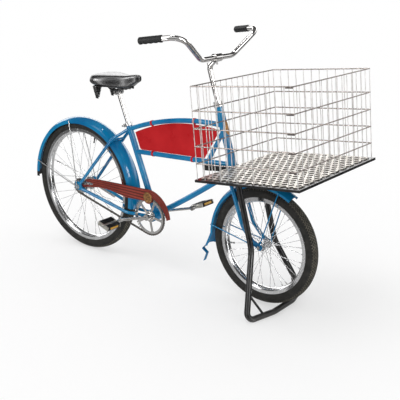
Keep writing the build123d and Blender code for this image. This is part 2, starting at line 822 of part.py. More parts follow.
# Carrier frame: a steel sheet on a welded lattice of flat bars, with two ears and pins for the stand
sheet_thick = 2.0
lattice_columns = 4
lattice_rows = 5
lattice_bar = 12.0
lattice_x = (carrier_length - lattice_bar) / lattice_columns
lattice_y = (carrier_width - lattice_bar) / lattice_rows
pivot_local = carrier_plane.to_local_coords(at(stand_pivot_x, 0, stand_pivot_z))
ear_inner = 66.0
ear_thick = 4.0
ear_width = 26.0
ear_low = pivot_local.Z - ear_width / 2
ear_middle = (ear_low - sheet_thick) / 2
sleeve_inner = ear_inner + ear_thick + moving_gap
sleeve_outer = 99.0
pin_head_thick = 3.0
pin_head_radius = 9.0
with BuildPart(carrier_plane) as carrier_frame:
    with BuildSketch(carrier_plane):
        with Locations((carrier_length / 2, 0)):
            Rectangle(carrier_length, carrier_width)
            with GridLocations(lattice_x, lattice_y, lattice_columns, lattice_rows):
                Rectangle(lattice_x - lattice_bar, lattice_y - lattice_bar, mode=Mode.SUBTRACT)
    extrude(amount=-carrier_bar)
    with BuildSketch(carrier_plane):
        with Locations((carrier_length / 2, 0)):
            Rectangle(carrier_length, carrier_width)
    extrude(amount=-sheet_thick)
    for side in (-1, 1):
        with Locations((pivot_local.X, side * (ear_inner + ear_thick / 2), ear_middle)):
            Box(ear_width, ear_thick, -ear_low - sheet_thick)
pivot_point = at(stand_pivot_x, 0, stand_pivot_z)
pin_end = sleeve_outer + moving_gap
with BuildPart() as stand_pins:
    for side in (-1, 1):
        cross_bar(pivot_point, side * ear_inner, side * pin_end, stand_pin_radius)
        cross_bar(pivot_point, side * pin_end, side * (pin_end + pin_head_thick), pin_head_radius)
with BuildPart() as carrier_welded:
    add(carrier_frame.part)
    add(stand_pins.part)
export(carrier_welded.part, "carrier_frame")

# Carrier arms: two flat bars under the platform, beside the head tube and clamped to the lower tube
arm_inner = 22.0
arm_thick = 6.0
arm_height = 20.0
arm_rear = -170.0
arm_front = 240.0
arm_middle = (arm_rear + arm_front) / 2
arm_side = arm_inner + arm_thick / 2
arm_top = -carrier_bar - seat_gap
block_length = 34.0
block_height = 26.0
yoke_low = head_low + 20
yoke_height = 24.0
yoke_radius = arm_inner + 3
with BuildPart(carrier_plane) as carrier_arms:
    for side in (-1, 1):
        with Locations((arm_middle, side * arm_side, arm_top - arm_height / 2)):
            Box(arm_front - arm_rear, arm_thick, arm_height)
    with Locations((arm_rear + block_length / 2, 0, arm_top - arm_height / 2)):
        Box(block_length, 2 * arm_inner, block_height)
with BuildPart() as carrier_mount:
    add(carrier_arms.part)
    with BuildSketch(steer_plane(yoke_low)):
        Circle(yoke_radius)
        Circle(head_radius + weld_gap, mode=Mode.SUBTRACT)
        Rectangle(yoke_radius, 2 * yoke_radius, align=(Align.MAX, Align.CENTER), mode=Mode.SUBTRACT)
    extrude(amount=yoke_height)
    bar(lower_tube_start, lower_tube_end, main_radius + weld_gap, Mode.SUBTRACT)
    tube(down_tube_line.line, down_radius + weld_gap, mode=Mode.SUBTRACT)
export(carrier_mount.part, "carrier_arms")

# Basket walls: upright wires welded to five hoops, the two long sides first
basket_length = basket_end - basket_start
upright = (Align.CENTER, Align.CENTER, Align.MIN)
wire_height = hoop_heights[-1] - seat_gap
with BuildPart(carrier_plane) as basket_sides:
    for side in (-1, 1):
        for index in range(side_spaces + 1):
            wire_x = basket_start + index * basket_length / side_spaces
            with Locations((wire_x, side * basket_half, seat_gap)):
                Cylinder(wire_radius, wire_height, align=upright)
        for height in hoop_heights:
            with Locations(Location((basket_start, side * basket_half, height), (0, 90, 0))):
                Cylinder(hoop_radius, basket_length, align=upright)
export(basket_sides.part, "basket_sides")

# Basket walls across the front and the rear, which meet the long sides at the corners
end_hoop_length = 2 * (basket_half - hoop_radius - seat_gap)
with BuildPart(carrier_plane) as basket_ends:
    for wall_x in (basket_start, basket_end):
        for index in range(1, end_spaces):
            wire_y = -basket_half + index * 2 * basket_half / end_spaces
            with Locations((wall_x, wire_y, seat_gap)):
                Cylinder(wire_radius, wire_height, align=upright)
        for height in hoop_heights:
            with Locations(Location((wall_x, 0, height), (90, 0, 0))):
                Cylinder(hoop_radius, end_hoop_length)
export(basket_ends.part, "basket_ends")

# Basket floor: a flat mesh that lies on the carrier frame inside the walls
floor_margin = 1.0
floor_length = basket_length - 2 * (hoop_radius + floor_margin)
floor_width = 2 * (basket_half - hoop_radius - floor_margin)
mesh_x = floor_length / mesh_columns
mesh_y = floor_width / mesh_rows
with BuildPart() as basket_floor:
    with BuildSketch(carrier_plane.offset(seat_gap)):
        with Locations(((basket_start + basket_end) / 2, 0)):
            Rectangle(floor_length, floor_width)
            with GridLocations(mesh_x, mesh_y, mesh_columns, mesh_rows):
                Rectangle(mesh_x - mesh_strand, mesh_y - mesh_strand, mode=Mode.SUBTRACT)
    extrude(amount=mesh_thick)
export(basket_floor.part, "basket_floor")

# Seat post, with a cross pin at its top for the saddle clamp
neck_radius = 7.0
neck_length = 16.0
post_top = saddle_pivot - neck_length
cheek_inner = 8.5
cheek_outer = 20.0
pin_end_margin = 1.0
saddle_pin_half = cheek_outer + pin_end_margin
with BuildPart() as seat_post:
    bar(on_seat(post_low), on_seat(post_top), post_radius)
    bar(on_seat(post_top), on_seat(saddle_pivot), neck_radius)
    cross_bar(on_seat(saddle_pivot), -saddle_pin_half, saddle_pin_half, saddle_pin_radius)
export(seat_post.part, "seat_post")

# Saddle clamp: two cheeks that tilt on the pin and grip the rails
cheek_radius = 14.0
rail_radius = 3.5
rail_y = cheek_outer + rail_radius + seat_gap
rail_lift = 9.0
with BuildPart() as saddle_clamp:
    for side in (-1, 1):
        cross_bar(on_seat(saddle_pivot), side * cheek_inner, side * cheek_outer, cheek_radius)
    cross_bar(
        on_seat(saddle_pivot), -cheek_outer, cheek_outer, saddle_pin_radius + running_fit, Mode.SUBTRACT
    )
export(saddle_clamp.part, "saddle_clamp")

# Saddle rails: one bent rod a side from the nose through the clamp to the rear of the pan
rail_end_z = pan_z - rail_radius - seat_gap
rail_low_z = on_seat(saddle_pivot).Z + rail_lift
rail_rear_y = 21.0
rail_front_y = 14.0
rail_nose_y = 10.0
rail_bends = (12, 12, 14, 12)
with BuildPart() as saddle_rails:
    for side in (-1, 1):
        rail_points = (
            at(172, side * rail_rear_y, rail_end_z),
            at(192, side * rail_rear_y, rail_end_z),
            at(222, side * rail_y, rail_low_z),
            at(272, side * rail_y, rail_low_z),
            at(312, side * rail_front_y, rail_end_z),
            at(334, side * rail_nose_y, rail_end_z),
        )
        tube(bent(rail_points, rail_bends), rail_radius)
export(saddle_rails.part, "saddle_rails")

# Saddle pan: the steel plate under the cushion
pan_rear_x = 194.0
pan_rear_length = 48.0
pan_rear_half = 84.0
pan_nose_x = 326.0
pan_nose_radius = 15.0
with BuildPart() as saddle_pan:
    with BuildSketch(Plane.XY.offset(pan_z)):
        with Locations((rear_axle_x + pan_rear_x, 0)):
            Ellipse(pan_rear_length, pan_rear_half)
        with Locations((rear_axle_x + pan_nose_x, 0)):
            Circle(pan_nose_radius)
        make_hull()
    extrude(amount=pan_thick)
export(saddle_pan.part, "saddle_pan")

# Saddle springs: two cones of wire under the rear of the pan, one unbroken coil each
spring_top_z = pan_z - spring_wire - seat_gap
steps_per_turn = 4


def spring_point(turns, side):
    """Point on the coil's centre line after a number of turns from the top, and its direction."""
    share = turns / spring_turns
    radius = spring_top_radius + (spring_low_radius - spring_top_radius) * share
    angle = 2 * pi * turns
    middle = at(spring_x, side * spring_y, spring_top_z - spring_height * share)
    point = middle + Vector(radius * cos(angle), radius * sin(angle), 0)
    growth = (spring_low_radius - spring_top_radius) / (2 * pi * spring_turns)
    fall = -spring_height / (2 * pi * spring_turns)
    along = Vector(
        growth * cos(angle) - radius * sin(angle), growth * sin(angle) + radius * cos(angle), fall
    )
    return point, along.normalized()


def spring_line(side):
    """Coil's centre line, two arcs to each quarter turn that meet in one direction."""
    with BuildLine() as coil:
        for step in range(spring_turns * steps_per_turn):
            start, start_aim = spring_point(step / steps_per_turn, side)
            end, end_aim = spring_point((step + 1) / steps_per_turn, side)
            chord = end - start
            both = chord.dot(start_aim + end_aim)
            spread = 2 * (1 - start_aim.dot(end_aim))
            reach = (sqrt(both * both + spread * chord.dot(chord)) - both) / spread
            middle = (start + end + (start_aim - end_aim) * reach) * 0.5
            first_arc = TangentArc(start, middle, tangent=start_aim)
            TangentArc(middle, end, tangent=first_arc % 1)
    return coil.line


spring_samples = [spring_point(index / 48, 1)[0] for index in range(48 * spring_turns + 1)]
spring_gap = min(
    (spring_samples[low] - spring_samples[high]).length
    for low in range(len(spring_samples))
    for high in range(low + 24, len(spring_samples))
)
print("least gap between spring turns, mm:", round(spring_gap - 2 * spring_wire, 2))
with BuildPart() as saddle_springs:
    for side in (-1, 1):
        tube(spring_line(side), spring_wire)
export(saddle_springs.part, "saddle_springs")

# Saddle cushion: a loft through upright sections from the tail to the nose, which stands up off the pan
cushion_low = pan_z + pan_thick + seat_gap
cushion_foot = 0.84
cushion_bulge = 0.42
cushion_shoulder = 0.84
cushion_crown = 0.84
cushion_sections = (
    (134, 56, 6, 896),
    (156, 97, 1, 906),
    (200, 105, 0, 911),
    (248, 82, 0, 914),
    (298, 47, 1, 915),
    (345, 29, 8, 916),
    (376, 21, 20, 914),
    (388, 13, 28, 907),
)


def cushion_section(x, half, lift, top):
    """Upright section of the cushion: flat below, bulging sides and a crowned top."""
    low = cushion_low + lift
    rise = top - low
    foot = cushion_foot * half
    shoulder = cushion_shoulder * half
    crown = cushion_crown * rise
    bulge = cushion_bulge * rise
    with BuildSketch(Plane(origin=at(x, 0, low), x_dir=(0, 1, 0), z_dir=(1, 0, 0))) as section:
        with BuildLine():
            Line((-foot, 0), (foot, 0))
            ThreePointArc((foot, 0), (half, bulge), (shoulder, crown))
            ThreePointArc((shoulder, crown), (0, rise), (-shoulder, crown))
            ThreePointArc((-shoulder, crown), (-half, bulge), (-foot, 0))
        make_face()
    return section.sketch


with BuildPart() as saddle_pad:
    loft([cushion_section(*sizes) for sizes in cushion_sections])
export(saddle_pad.part, "saddle_pad")

# Fork crown with the steerer tube above it
locknut_height = 14.0
locknut_low = head_high + cup_height + moving_gap
steerer_top = locknut_low + locknut_height
crown_wall = 3.0
crown_middle = 22.0
with BuildPart() as fork_crown:
    with BuildSketch(steer_plane(crown_low)):
        for side in (-1, 1):
            with Locations((0, side * blade_y)):
                Circle(blade_radius + crown_wall)
        Circle(crown_middle)
        make_hull()
    extrude(amount=crown_high - crown_low)
    bar(on_steer(crown_low), on_steer(steerer_top), steerer_radius)
    bar(on_steer(crown_low), on_steer(steerer_top), steerer_bore, Mode.SUBTRACT)
export(fork_crown.part, "fork_crown")

# Headset locknut on top of the steerer
locknut_radius = 19.0
with BuildPart() as headset_locknut:
    bar(on_steer(locknut_low), on_steer(steerer_top), locknut_radius)
    bar(on_steer(locknut_low), on_steer(steerer_top), steerer_radius + seat_gap, Mode.SUBTRACT)
export(headset_locknut.part, "headset_locknut")

# Fork blades: straight below the crown, then swept forward to the axle plates
blade_end_y = fork_end_inner + fork_end_thick / 2
blade_knee_bend = 80.0
fork_end_radius = 13.5
fork_end_root = 7.0
fork_end_bore = front_axle_radius + seat_gap
with BuildPart() as fork_blades:
    for side in (-1, 1):
        blade_points = (
            on_steer(crown_low + blade_radius, 0, side * blade_y),
            on_steer(95, 7, side * blade_end_y),
            on_steer(30, 40, side * blade_end_y),
        )
        tube(bent(blade_points, (blade_knee_bend,)), blade_radius, blade_radius - tube_wall)
        plate_y = fork_end_inner if side > 0 else -fork_end_inner - fork_end_thick
        hull_plate(
            ((front_axle_point, fork_end_radius), (on_steer(34, 38), fork_end_root)),
            plate_y,
            fork_end_thick,
        )
        cross_bar(front_axle_point, plate_y, plate_y + fork_end_thick, fork_end_bore, Mode.SUBTRACT)
    bar(on_steer(crown_low - seat_gap), on_steer(crown_high), 2 * blade_y, Mode.SUBTRACT)
export(fork_blades.part, "fork_blades")

# Front fender, whose tail is flared away from the tyre, with a bent strap that hangs from it
strap_thick = 2.0
strap_across = 18.0
nose_angle = 59.5
tail_angle = 180.0
tail_run = Vector(-28, 0, -64)
strap_radius = front_fender_radius - fender_wall - strap_thick / 2
tail_point = wheel_point(front_axle_point, tail_angle, strap_radius, 0) + tail_run
strap_bends = ((9, 21), (0, 0), (-26, -29), (-2, -46), (-17, -86))
with BuildPart() as front_fender:
    fender(
        front_axle_point,
        front_fender_radius,
        front_fender_half,
        front_fender_skirt,
        nose_angle,
        tail_angle,
    )
    tail = fender_profile(
        front_axle_point,
        front_fender_radius,
        front_fender_half,
        front_fender_skirt,
        tail_angle,
    )
    extrude(tail, amount=tail_run.length, dir=tail_run)
    with BuildSketch(side_plane(-strap_across / 2)):
        with BuildLine():
            Polyline(*[side_point(tail_point + Vector(x, 0, z)) for x, z in strap_bends])
            offset(amount=strap_thick / 2, side=Side.BOTH)
        make_face()
    extrude(amount=strap_across, dir=(0, 1, 0))
export(front_fender.part, "front_fender")

front_eye_y = fork_end_inner + fork_end_thick + seat_gap
front_brace_angles = (72.2, 170.5)
front_brace_lean = 0.8
with BuildPart() as front_fender_braces:
    fender_braces(
        front_axle_point,
        front_axle_point,
        front_fender_radius - front_fender_skirt / 2,
        front_fender_half,
        front_brace_angles,
        front_eye_y,
        front_axle_radius,
        front_brace_lean,
    )
export(front_fender_braces.part, "front_fender_braces")

# Front axle with its journal and nuts, which stay with the fork
front_journal_half = fork_end_inner - seat_gap
front_nut_flats = 14.0
front_nut_height = 6.0
front_nut_y = front_eye_y + eye_thick + seat_gap
with BuildPart() as front_axle:
    cross_bar(front_axle_point, -front_axle_half, front_axle_half, front_axle_radius)
    cross_bar(front_axle_point, -front_journal_half, front_journal_half, front_journal_radius)
    for side in (-1, 1):
        hex_nut(front_axle_point, side * front_nut_y, front_nut_height, front_nut_flats)
export(front_axle.part, "front_axle")

# Stem: a quill that slides in the steerer, a gooseneck and the clamp for the bar
stem_clamp_point = at(stem_clamp_x, 0, stem_clamp_z)
stem_clamp_radius = 17.0
stem_clamp_half = 21.0
quill_low = head_low + 140
quill_bend = head_high + 172
quill_bend_radius = 26.0
expander_radius = 7.0
expander_height = 16.0
stem_bolt_radius = 4.0
stem_bolt_length = 14.0
with BuildPart() as stem:
    stem_points = (on_steer(quill_low), on_steer(quill_bend), stem_clamp_point)
    tube(bent(stem_points, (quill_bend_radius,)), quill_radius)
    cross_bar(stem_clamp_point, -stem_clamp_half, stem_clamp_half, stem_clamp_radius)
    cross_bar(stem_clamp_point, -stem_clamp_half, stem_clamp_half, bar_radius + running_fit, Mode.SUBTRACT)
    bar(on_steer(quill_bend), on_steer(quill_bend + expander_height), expander_radius)
    bolt_root = stem_clamp_point - Vector(0, 0, (bar_radius + stem_clamp_radius) / 2)
    bar(bolt_root, bolt_root - Vector(0, 0, stem_bolt_length), stem_bolt_radius)
export(stem.part, "stem")

# Handlebar: one bent tube, straight in the clamp, rising to both sides and swept back to the grips
grip_tip = at(687, 318, 1112)
bar_corner = at(851, 256, 1134)
bar_rise = at(stem_clamp_x, 106, stem_clamp_z)
corner_bend = 60.0
rise_bend = 56.0


def mirrored(point):
    """The same point on the other side of the bicycle."""
    return Vector(point.X, -point.Y, point.Z)


with BuildPart() as handlebar:
    left_points = (bar_rise, bar_corner, grip_tip)
    right_points = (mirrored(grip_tip), mirrored(bar_corner), mirrored(bar_rise))
    bar_line = bent(right_points + left_points, (corner_bend, rise_bend, rise_bend, corner_bend))
    tube(bar_line, bar_radius, bar_radius - tube_wall)
export(handlebar.part, "handlebar")

# Grips: rubber sleeves with closed ends, scalloped below for the fingers
grip_cap = 4.0
finger_grooves = 4
finger_pitch = 21.5
finger_start = 15.0
scallop_radius = 18.0
scallop_depth = 2.2
scallop_reach = grip_radius + scallop_radius - scallop_depth


def grip_profile(tip, inward, outward):
    """Half section of a grip, with its own x along the bar and its own y outward."""
    with BuildSketch(Plane(origin=tip, x_dir=inward, z_dir=inward.cross(outward))) as profile:
        with BuildLine():
            Polyline(
                (-grip_cap, 0),
                (-grip_cap, grip_radius - grip_cap),
                (0, grip_radius),
                (grip_length, grip_radius),
                (grip_length, bar_radius + seat_gap),
                (-seat_gap, bar_radius + seat_gap),
                (-seat_gap, 0),
                close=True,
            )
        make_face()
    return profile.sketch


with BuildPart() as grips:
    for tip, corner in ((grip_tip, bar_corner), (mirrored(grip_tip), mirrored(bar_corner))):
        inward = (corner - tip).normalized()
        outward = Vector(0, 0, 1).cross(inward).normalized()
        below = outward.cross(inward)
        revolve(grip_profile(tip, inward, outward), axis=Axis(tip, inward))
        for index in range(finger_grooves):
            groove = tip + inward * (finger_start + index * finger_pitch) + below * scallop_reach
            bar(groove - outward * grip_radius, groove + outward * grip_radius, scallop_radius, Mode.SUBTRACT)
export(grips.part, "grips")


def tyre(axle, radius):
    """Balloon tyre, seated between the rim's flanges."""
    half_section = tyre_section / 2
    bed = radius - tyre_section + tyre_seat
    flange_top = bed + rim_flange
    with BuildSketch(wheel_plane(axle, 0)) as outline:
        with Locations((radius - half_section, 0)):
            Circle(half_section)
            Circle(half_section - tyre_wall, mode=Mode.SUBTRACT)
        with Locations((bed + seat_gap, 0)):
            Rectangle(tyre_section, tyre_section, align=(Align.MAX, Align.CENTER), mode=Mode.SUBTRACT)
        for side in (-1, 1):
            with Locations((flange_top + seat_gap, side * (rim_width / 2 - rim_wall - seat_gap))):
                Rectangle(
                    tyre_section,
                    tyre_section,
                    align=(Align.MAX, Align.MIN if side > 0 else Align.MAX),
                    mode=Mode.SUBTRACT,
                )
    revolve(outline.sketch, axis=Axis(axle, (0, 1, 0)))


def rim(axle, radius):
    """Chromed rim: a rolled channel with a rounded underside and two upright flanges."""
    bed = radius - tyre_section + tyre_seat
    low = bed - rim_depth + rim_flange
    top = bed + rim_flange
    shoulder = (bed + low) / 2
    edge = rim_width / 2
    lip = edge - rim_wall
    with BuildSketch(wheel_plane(axle, 0)) as outline:
        with BuildLine():
            underside = ThreePointArc((shoulder, -edge), (low, 0), (shoulder, edge))
            channel = ThreePointArc(
                (shoulder + rim_shell, -lip), (low + rim_shell, 0), (shoulder + rim_shell, lip)
            )
            Polyline(underside @ 1, (top, edge), (top, lip), channel @ 1)
            Polyline(underside @ 0, (top, -edge), (top, -lip), channel @ 0)
        make_face()
    revolve(outline.sketch, axis=Axis(axle, (0, 1, 0)))


spoke_outer_offset = 3.3
spoke_inner_offset = 2.6
spoke_hole_inset = 3.0
rim_spoke_y = 4.0
spoke_cross = 60.0


def spokes(axle, radius, flange_radius, flange_y):
    """Crossed spokes of a wheel, two from each pair of flange holes."""
    hole_radius = flange_radius - spoke_hole_inset
    rim_low = radius - tyre_section + tyre_seat - rim_depth + rim_flange - seat_gap
    hole_step = 360 / spokes_per_flange
    for side in (-1, 1):
        shift = 0 if side > 0 else hole_step / 2
        for pair in range(spokes_per_flange // 2):
            lead = 2 * hole_step * pair + shift
            trail = lead + hole_step
            outer_y = side * (flange_y + spoke_outer_offset)
            inner_y = side * (flange_y - spoke_inner_offset)
            bar(
                wheel_point(axle, lead, hole_radius, outer_y),
                wheel_point(axle, lead + spoke_cross, rim_low, side * rim_spoke_y),
                spoke_radius,
            )
            bar(
                wheel_point(axle, trail, hole_radius, inner_y),
                wheel_point(axle, trail - spoke_cross, rim_low, side * rim_spoke_y),
                spoke_radius,
            )


flange_thick = 3.0


def hub(axle, barrel_radius, flange_radius, flange_y, half_length, bore):
    """Hub shell with two spoke flanges, bored to run on the axle's journal."""
    cross_bar(axle, -half_length, half_length, barrel_radius)
    for side in (-1, 1):
        cross_bar(axle, side * flange_y - flange_thick / 2, side * flange_y + flange_thick / 2, flange_radius)
    cross_bar(axle, -half_length, half_length, bore, Mode.SUBTRACT)


# Rear wheel
with BuildPart() as rear_tyre:
    tyre(rear_axle_point, rear_tyre_radius)
export(rear_tyre.part, "rear_tyre")
with BuildPart() as rear_rim:
    rim(rear_axle_point, rear_tyre_radius)
export(rear_rim.part, "rear_rim")
with BuildPart() as rear_spokes:
    spokes(rear_axle_point, rear_tyre_radius, rear_flange_radius, rear_flange_y)
export(rear_spokes.part, "rear_spokes")
rear_hub_half = 34.0
rear_barrel_radius = 21.0
with BuildPart() as rear_hub:
    rear_bore = rear_journal_radius + running_fit
    hub(rear_axle_point, rear_barrel_radius, rear_flange_radius, rear_flange_y, rear_hub_half, rear_bore)
export(rear_hub.part, "rear_hub")

# Front wheel
with BuildPart() as front_tyre:
    tyre(front_axle_point, front_tyre_radius)
export(front_tyre.part, "front_tyre")
with BuildPart() as front_rim:
    rim(front_axle_point, front_tyre_radius)
export(front_rim.part, "front_rim")
with BuildPart() as front_spokes:
    spokes(front_axle_point, front_tyre_radius, front_flange_radius, front_flange_y)
export(front_spokes.part, "front_spokes")
front_hub_half = front_journal_half - end_play
front_barrel_radius = 12.0
with BuildPart() as front_hub:
    front_bore = front_journal_radius + running_fit
    hub(
        front_axle_point, front_barrel_radius, front_flange_radius,
        front_flange_y, front_hub_half, front_bore,
    )
export(front_hub.part, "front_hub")


def sprocket(centre, pitch_radius, teeth):
    """Toothed disc for a roller chain, with a round seat for each roller."""
    with BuildSketch(side_plane(chain_line - tooth_thick / 2)) as outline:
        with Locations(side_point(centre)):
            Circle(pitch_radius + tooth_rise)
            with PolarLocations(pitch_radius, teeth):
                Circle(roller_radius + seat_gap, mode=Mode.SUBTRACT)
    extrude(outline.sketch, amount=tooth_thick, dir=(0, 1, 0))


# Rear sprocket on its driver, which runs on the rear axle's journal
driver_radius = 15.0
driver_near = rear_hub_half + end_play
driver_far = rear_journal_half - end_play
with BuildPart() as rear_cog:
    sprocket(rear_axle_point, cog_pitch_radius, cog_teeth)
    cross_bar(rear_axle_point, -driver_near, -driver_far, driver_radius)
    cross_bar(rear_axle_point, -driver_near, -driver_far, rear_journal_radius + running_fit, Mode.SUBTRACT)
export(rear_cog.part, "rear_cog")

# Chainring with five large windows between narrow arms
window_inner = 26.0
window_outer = 75.0
window_corner = 7.0
windows = 5
ring_arm = 11.0
ring_arm_turn = 65.0
ring_boss_radius = 20.0
ring_boss_half = 4.0
with BuildPart() as chainring:
    sprocket(bracket_point, ring_pitch_radius, ring_teeth)
    ring_inner_y = chain_line + ring_boss_half
    ring_outer_y = chain_line - ring_boss_half
    cross_bar(bracket_point, ring_outer_y, ring_inner_y, ring_boss_radius)
    with BuildSketch(side_plane(ring_outer_y)) as ring_windows:
        with Locations(side_point(bracket_point)):
            Circle(window_outer)
            Circle(window_inner, mode=Mode.SUBTRACT)
            with PolarLocations(0, windows, start_angle=ring_arm_turn):
                Rectangle(ring_pitch_radius, ring_arm, align=(Align.MIN, Align.CENTER), mode=Mode.SUBTRACT)
        fillet(ring_windows.vertices(), window_corner)
    extrude(amount=2 * ring_boss_half, dir=(0, 1, 0), mode=Mode.SUBTRACT)
    cross_bar(bracket_point, ring_outer_y, ring_inner_y, spindle_radius + seat_gap, Mode.SUBTRACT)
export(chainring.part, "chainring")

# One-piece crank: the spindle, both arms and the two pedal spindles
pedal_inner = pedal_middle - pedal_length / 2
pedal_outer = pedal_middle + pedal_length / 2
right_pedal_point = wheel_point(bracket_point, crank_angle, crank_length, 0)
left_pedal_point = wheel_point(bracket_point, crank_angle - 180, crank_length, 0)
crank_ends = ((-1, right_pedal_point), (1, left_pedal_point))
crank_outer = crank_inner + crank_thick
crank_middle = crank_inner + crank_thick / 2
crank_arm_radius = 7.0
crank_root = 15.0
crank_tip = 11.5
spindle_end = pedal_outer + 3
with BuildPart() as crank:
    cross_bar(bracket_point, -crank_outer, crank_outer, spindle_radius)
    for side, pedal_point in crank_ends:
        arm_shift = Vector(0, side * crank_middle, 0)
        bar(bracket_point + arm_shift, pedal_point + arm_shift, crank_arm_radius)
        cross_bar(bracket_point, side * crank_inner, side * crank_outer, crank_root)
        cross_bar(pedal_point, side * crank_inner, side * crank_outer, crank_tip)
        cross_bar(pedal_point, side * crank_inner, side * spindle_end, pedal_spindle_radius)
export(crank.part, "crank")

# Pedals: a steel cage on a sleeve, two rubber blocks and two reflectors each
sleeve_radius = 8.0
cage_plate = 4.0
cage_half_width = 33.0
cage_half_height = 10.0
block_width = 20.0
block_thick = 22.0
block_offset = 21.8
block_inner = pedal_inner + cage_plate + seat_gap
block_outer = pedal_outer - cage_plate - seat_gap
block_span = block_outer - block_inner
reflector_thick = 3.0
reflector_height = 10.0
reflector_span = 48.0
groove_count = 3
groove_width = 2.5
groove_cut = 3.0
pedal_tips = {-1: radians(18.0), 1: radians(-20.0)}
pedal_names = {-1: "right", 1: "left"}


def pedal_box(middle, tip, shift, sizes, mode=Mode.ADD):
    """Box beside a pedal's axle, in a frame whose front end is tipped down by an angle."""
    ahead = (cos(tip), 0, -sin(tip))
    upward = (sin(tip), 0, cos(tip))
    with Locations(Plane(origin=middle, x_dir=ahead, z_dir=upward)):
        with Locations(shift):
            Box(*sizes, mode=mode)


for side, pedal_point in crank_ends:
    tip = pedal_tips[side]
    with BuildPart() as pedal_cage:
        cross_bar(pedal_point, side * pedal_inner, side * pedal_outer, sleeve_radius)
        for plate_middle in (pedal_inner + cage_plate / 2, pedal_outer - cage_plate / 2):
            pedal_box(
                pedal_point,
                tip,
                (0, side * plate_middle, 0),
                (2 * cage_half_width, cage_plate, 2 * cage_half_height),
            )
        pedal_bore = pedal_spindle_radius + running_fit
        cross_bar(pedal_point, side * pedal_inner, side * pedal_outer, pedal_bore, Mode.SUBTRACT)
    export(pedal_cage.part, f"pedal_{pedal_names[side]}_cage")
    with BuildPart() as pedal_blocks:
        for end in (-1, 1):
            block_shift = (end * block_offset, side * pedal_middle, 0)
            pedal_box(pedal_point, tip, block_shift, (block_width, block_span, block_thick))
            for index in range(groove_count):
                groove_x = end * block_offset + (index - 1) * block_width / groove_count
                for level in (-1, 1):
                    groove_shift = (groove_x, side * pedal_middle, level * block_thick / 2)
                    groove_sizes = (groove_width, block_span, groove_cut)
                    pedal_box(pedal_point, tip, groove_shift, groove_sizes, Mode.SUBTRACT)
    export(pedal_blocks.part, f"pedal_{pedal_names[side]}_blocks")
    with BuildPart() as pedal_reflectors:
        for end in (-1, 1):
            reflector_x = end * (block_offset + block_width / 2 + reflector_thick / 2 + seat_gap)
            reflector_sizes = (reflector_thick, reflector_span, reflector_height)
            pedal_box(pedal_point, tip, (reflector_x, side * pedal_middle, 0), reflector_sizes)
    export(pedal_reflectors.part, f"pedal_{pedal_names[side]}_reflectors")

# Stand: one bent tube in a U, two pivot sleeves and a brace in each foot corner, worn flat on the ground
foot_bend = 26.0
leg_bend = 120.0
bar_bend = 60.0
foot_depth = 8.0
brace_share = 0.62
stand_brace_radius = 5.0
stand_sleeve_radius = 13.0
stand_wall = 2.5
drain_radius = 2.5


def stand_points(side):
    """Corner points of the stand's tube on one side, from the pivot to the cross bar."""
    return (
        at(stand_pivot_x, side * stand_leg_y, stand_pivot_z),
        at(stand_bend_x, side * stand_leg_y, stand_bend_z),
        at(stand_foot_x, side * stand_foot_y, foot_depth),
        at(stand_bar_x, side * stand_bar_half, stand_bar_z),
    )


with BuildPart() as stand:
    stand_route = stand_points(-1) + stand_points(1)[::-1]
    stand_bends = (leg_bend, foot_bend, bar_bend, bar_bend, foot_bend, leg_bend)
    tube(bent(stand_route, stand_bends), stand_tube_radius, stand_tube_radius - stand_wall)
    for side in (-1, 1):
        leg_corner, foot_corner, bar_end = stand_points(side)[1:]
        bar(
            leg_corner + (foot_corner - leg_corner) * brace_share,
            foot_corner + (bar_end - foot_corner) * brace_share,
            stand_brace_radius,
        )
        cross_bar(pivot_point, side * sleeve_inner, side * sleeve_outer, stand_sleeve_radius)
    for side in (-1, 1):
        sleeve_bore = stand_pin_radius + running_fit
        cross_bar(pivot_point, side * sleeve_inner, side * sleeve_outer, sleeve_bore, Mode.SUBTRACT)
    bar(at(stand_bar_x, 0, 0), at(stand_bar_x, 0, stand_bar_z), drain_radius, Mode.SUBTRACT)
    with Locations(at(stand_foot_x, 0, 0)):
        ground_size = 4 * stand_foot_y
        Box(
            ground_size,
            ground_size,
            ground_size,
            align=(Align.CENTER, Align.CENTER, Align.MAX),
            mode=Mode.SUBTRACT,
        )
export(stand.part, "stand")
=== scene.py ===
import bmesh
import bpy
import numpy as np
from mathutils import Matrix, Vector


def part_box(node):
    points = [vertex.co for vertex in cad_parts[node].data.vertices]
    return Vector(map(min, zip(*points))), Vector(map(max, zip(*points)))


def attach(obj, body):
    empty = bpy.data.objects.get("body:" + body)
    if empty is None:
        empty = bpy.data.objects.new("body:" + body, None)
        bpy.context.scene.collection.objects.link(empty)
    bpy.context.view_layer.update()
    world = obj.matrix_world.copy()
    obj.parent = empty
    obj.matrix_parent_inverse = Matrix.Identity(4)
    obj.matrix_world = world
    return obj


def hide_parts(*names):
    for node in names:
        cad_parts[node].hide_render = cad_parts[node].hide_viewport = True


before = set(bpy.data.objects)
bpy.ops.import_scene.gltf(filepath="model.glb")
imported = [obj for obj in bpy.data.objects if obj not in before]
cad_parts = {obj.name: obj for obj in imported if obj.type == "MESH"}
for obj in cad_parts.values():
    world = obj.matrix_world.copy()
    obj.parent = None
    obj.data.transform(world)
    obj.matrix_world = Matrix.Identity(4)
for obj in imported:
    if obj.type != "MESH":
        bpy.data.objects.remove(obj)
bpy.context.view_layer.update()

# The studio is a white floor that runs out of sight, lit evenly from all round with a little more from above.
# The camera stands in front of the bicycle on its drive side, a little higher than the basket's rim.
scene = bpy.context.scene
scene.view_settings.view_transform = "Standard"


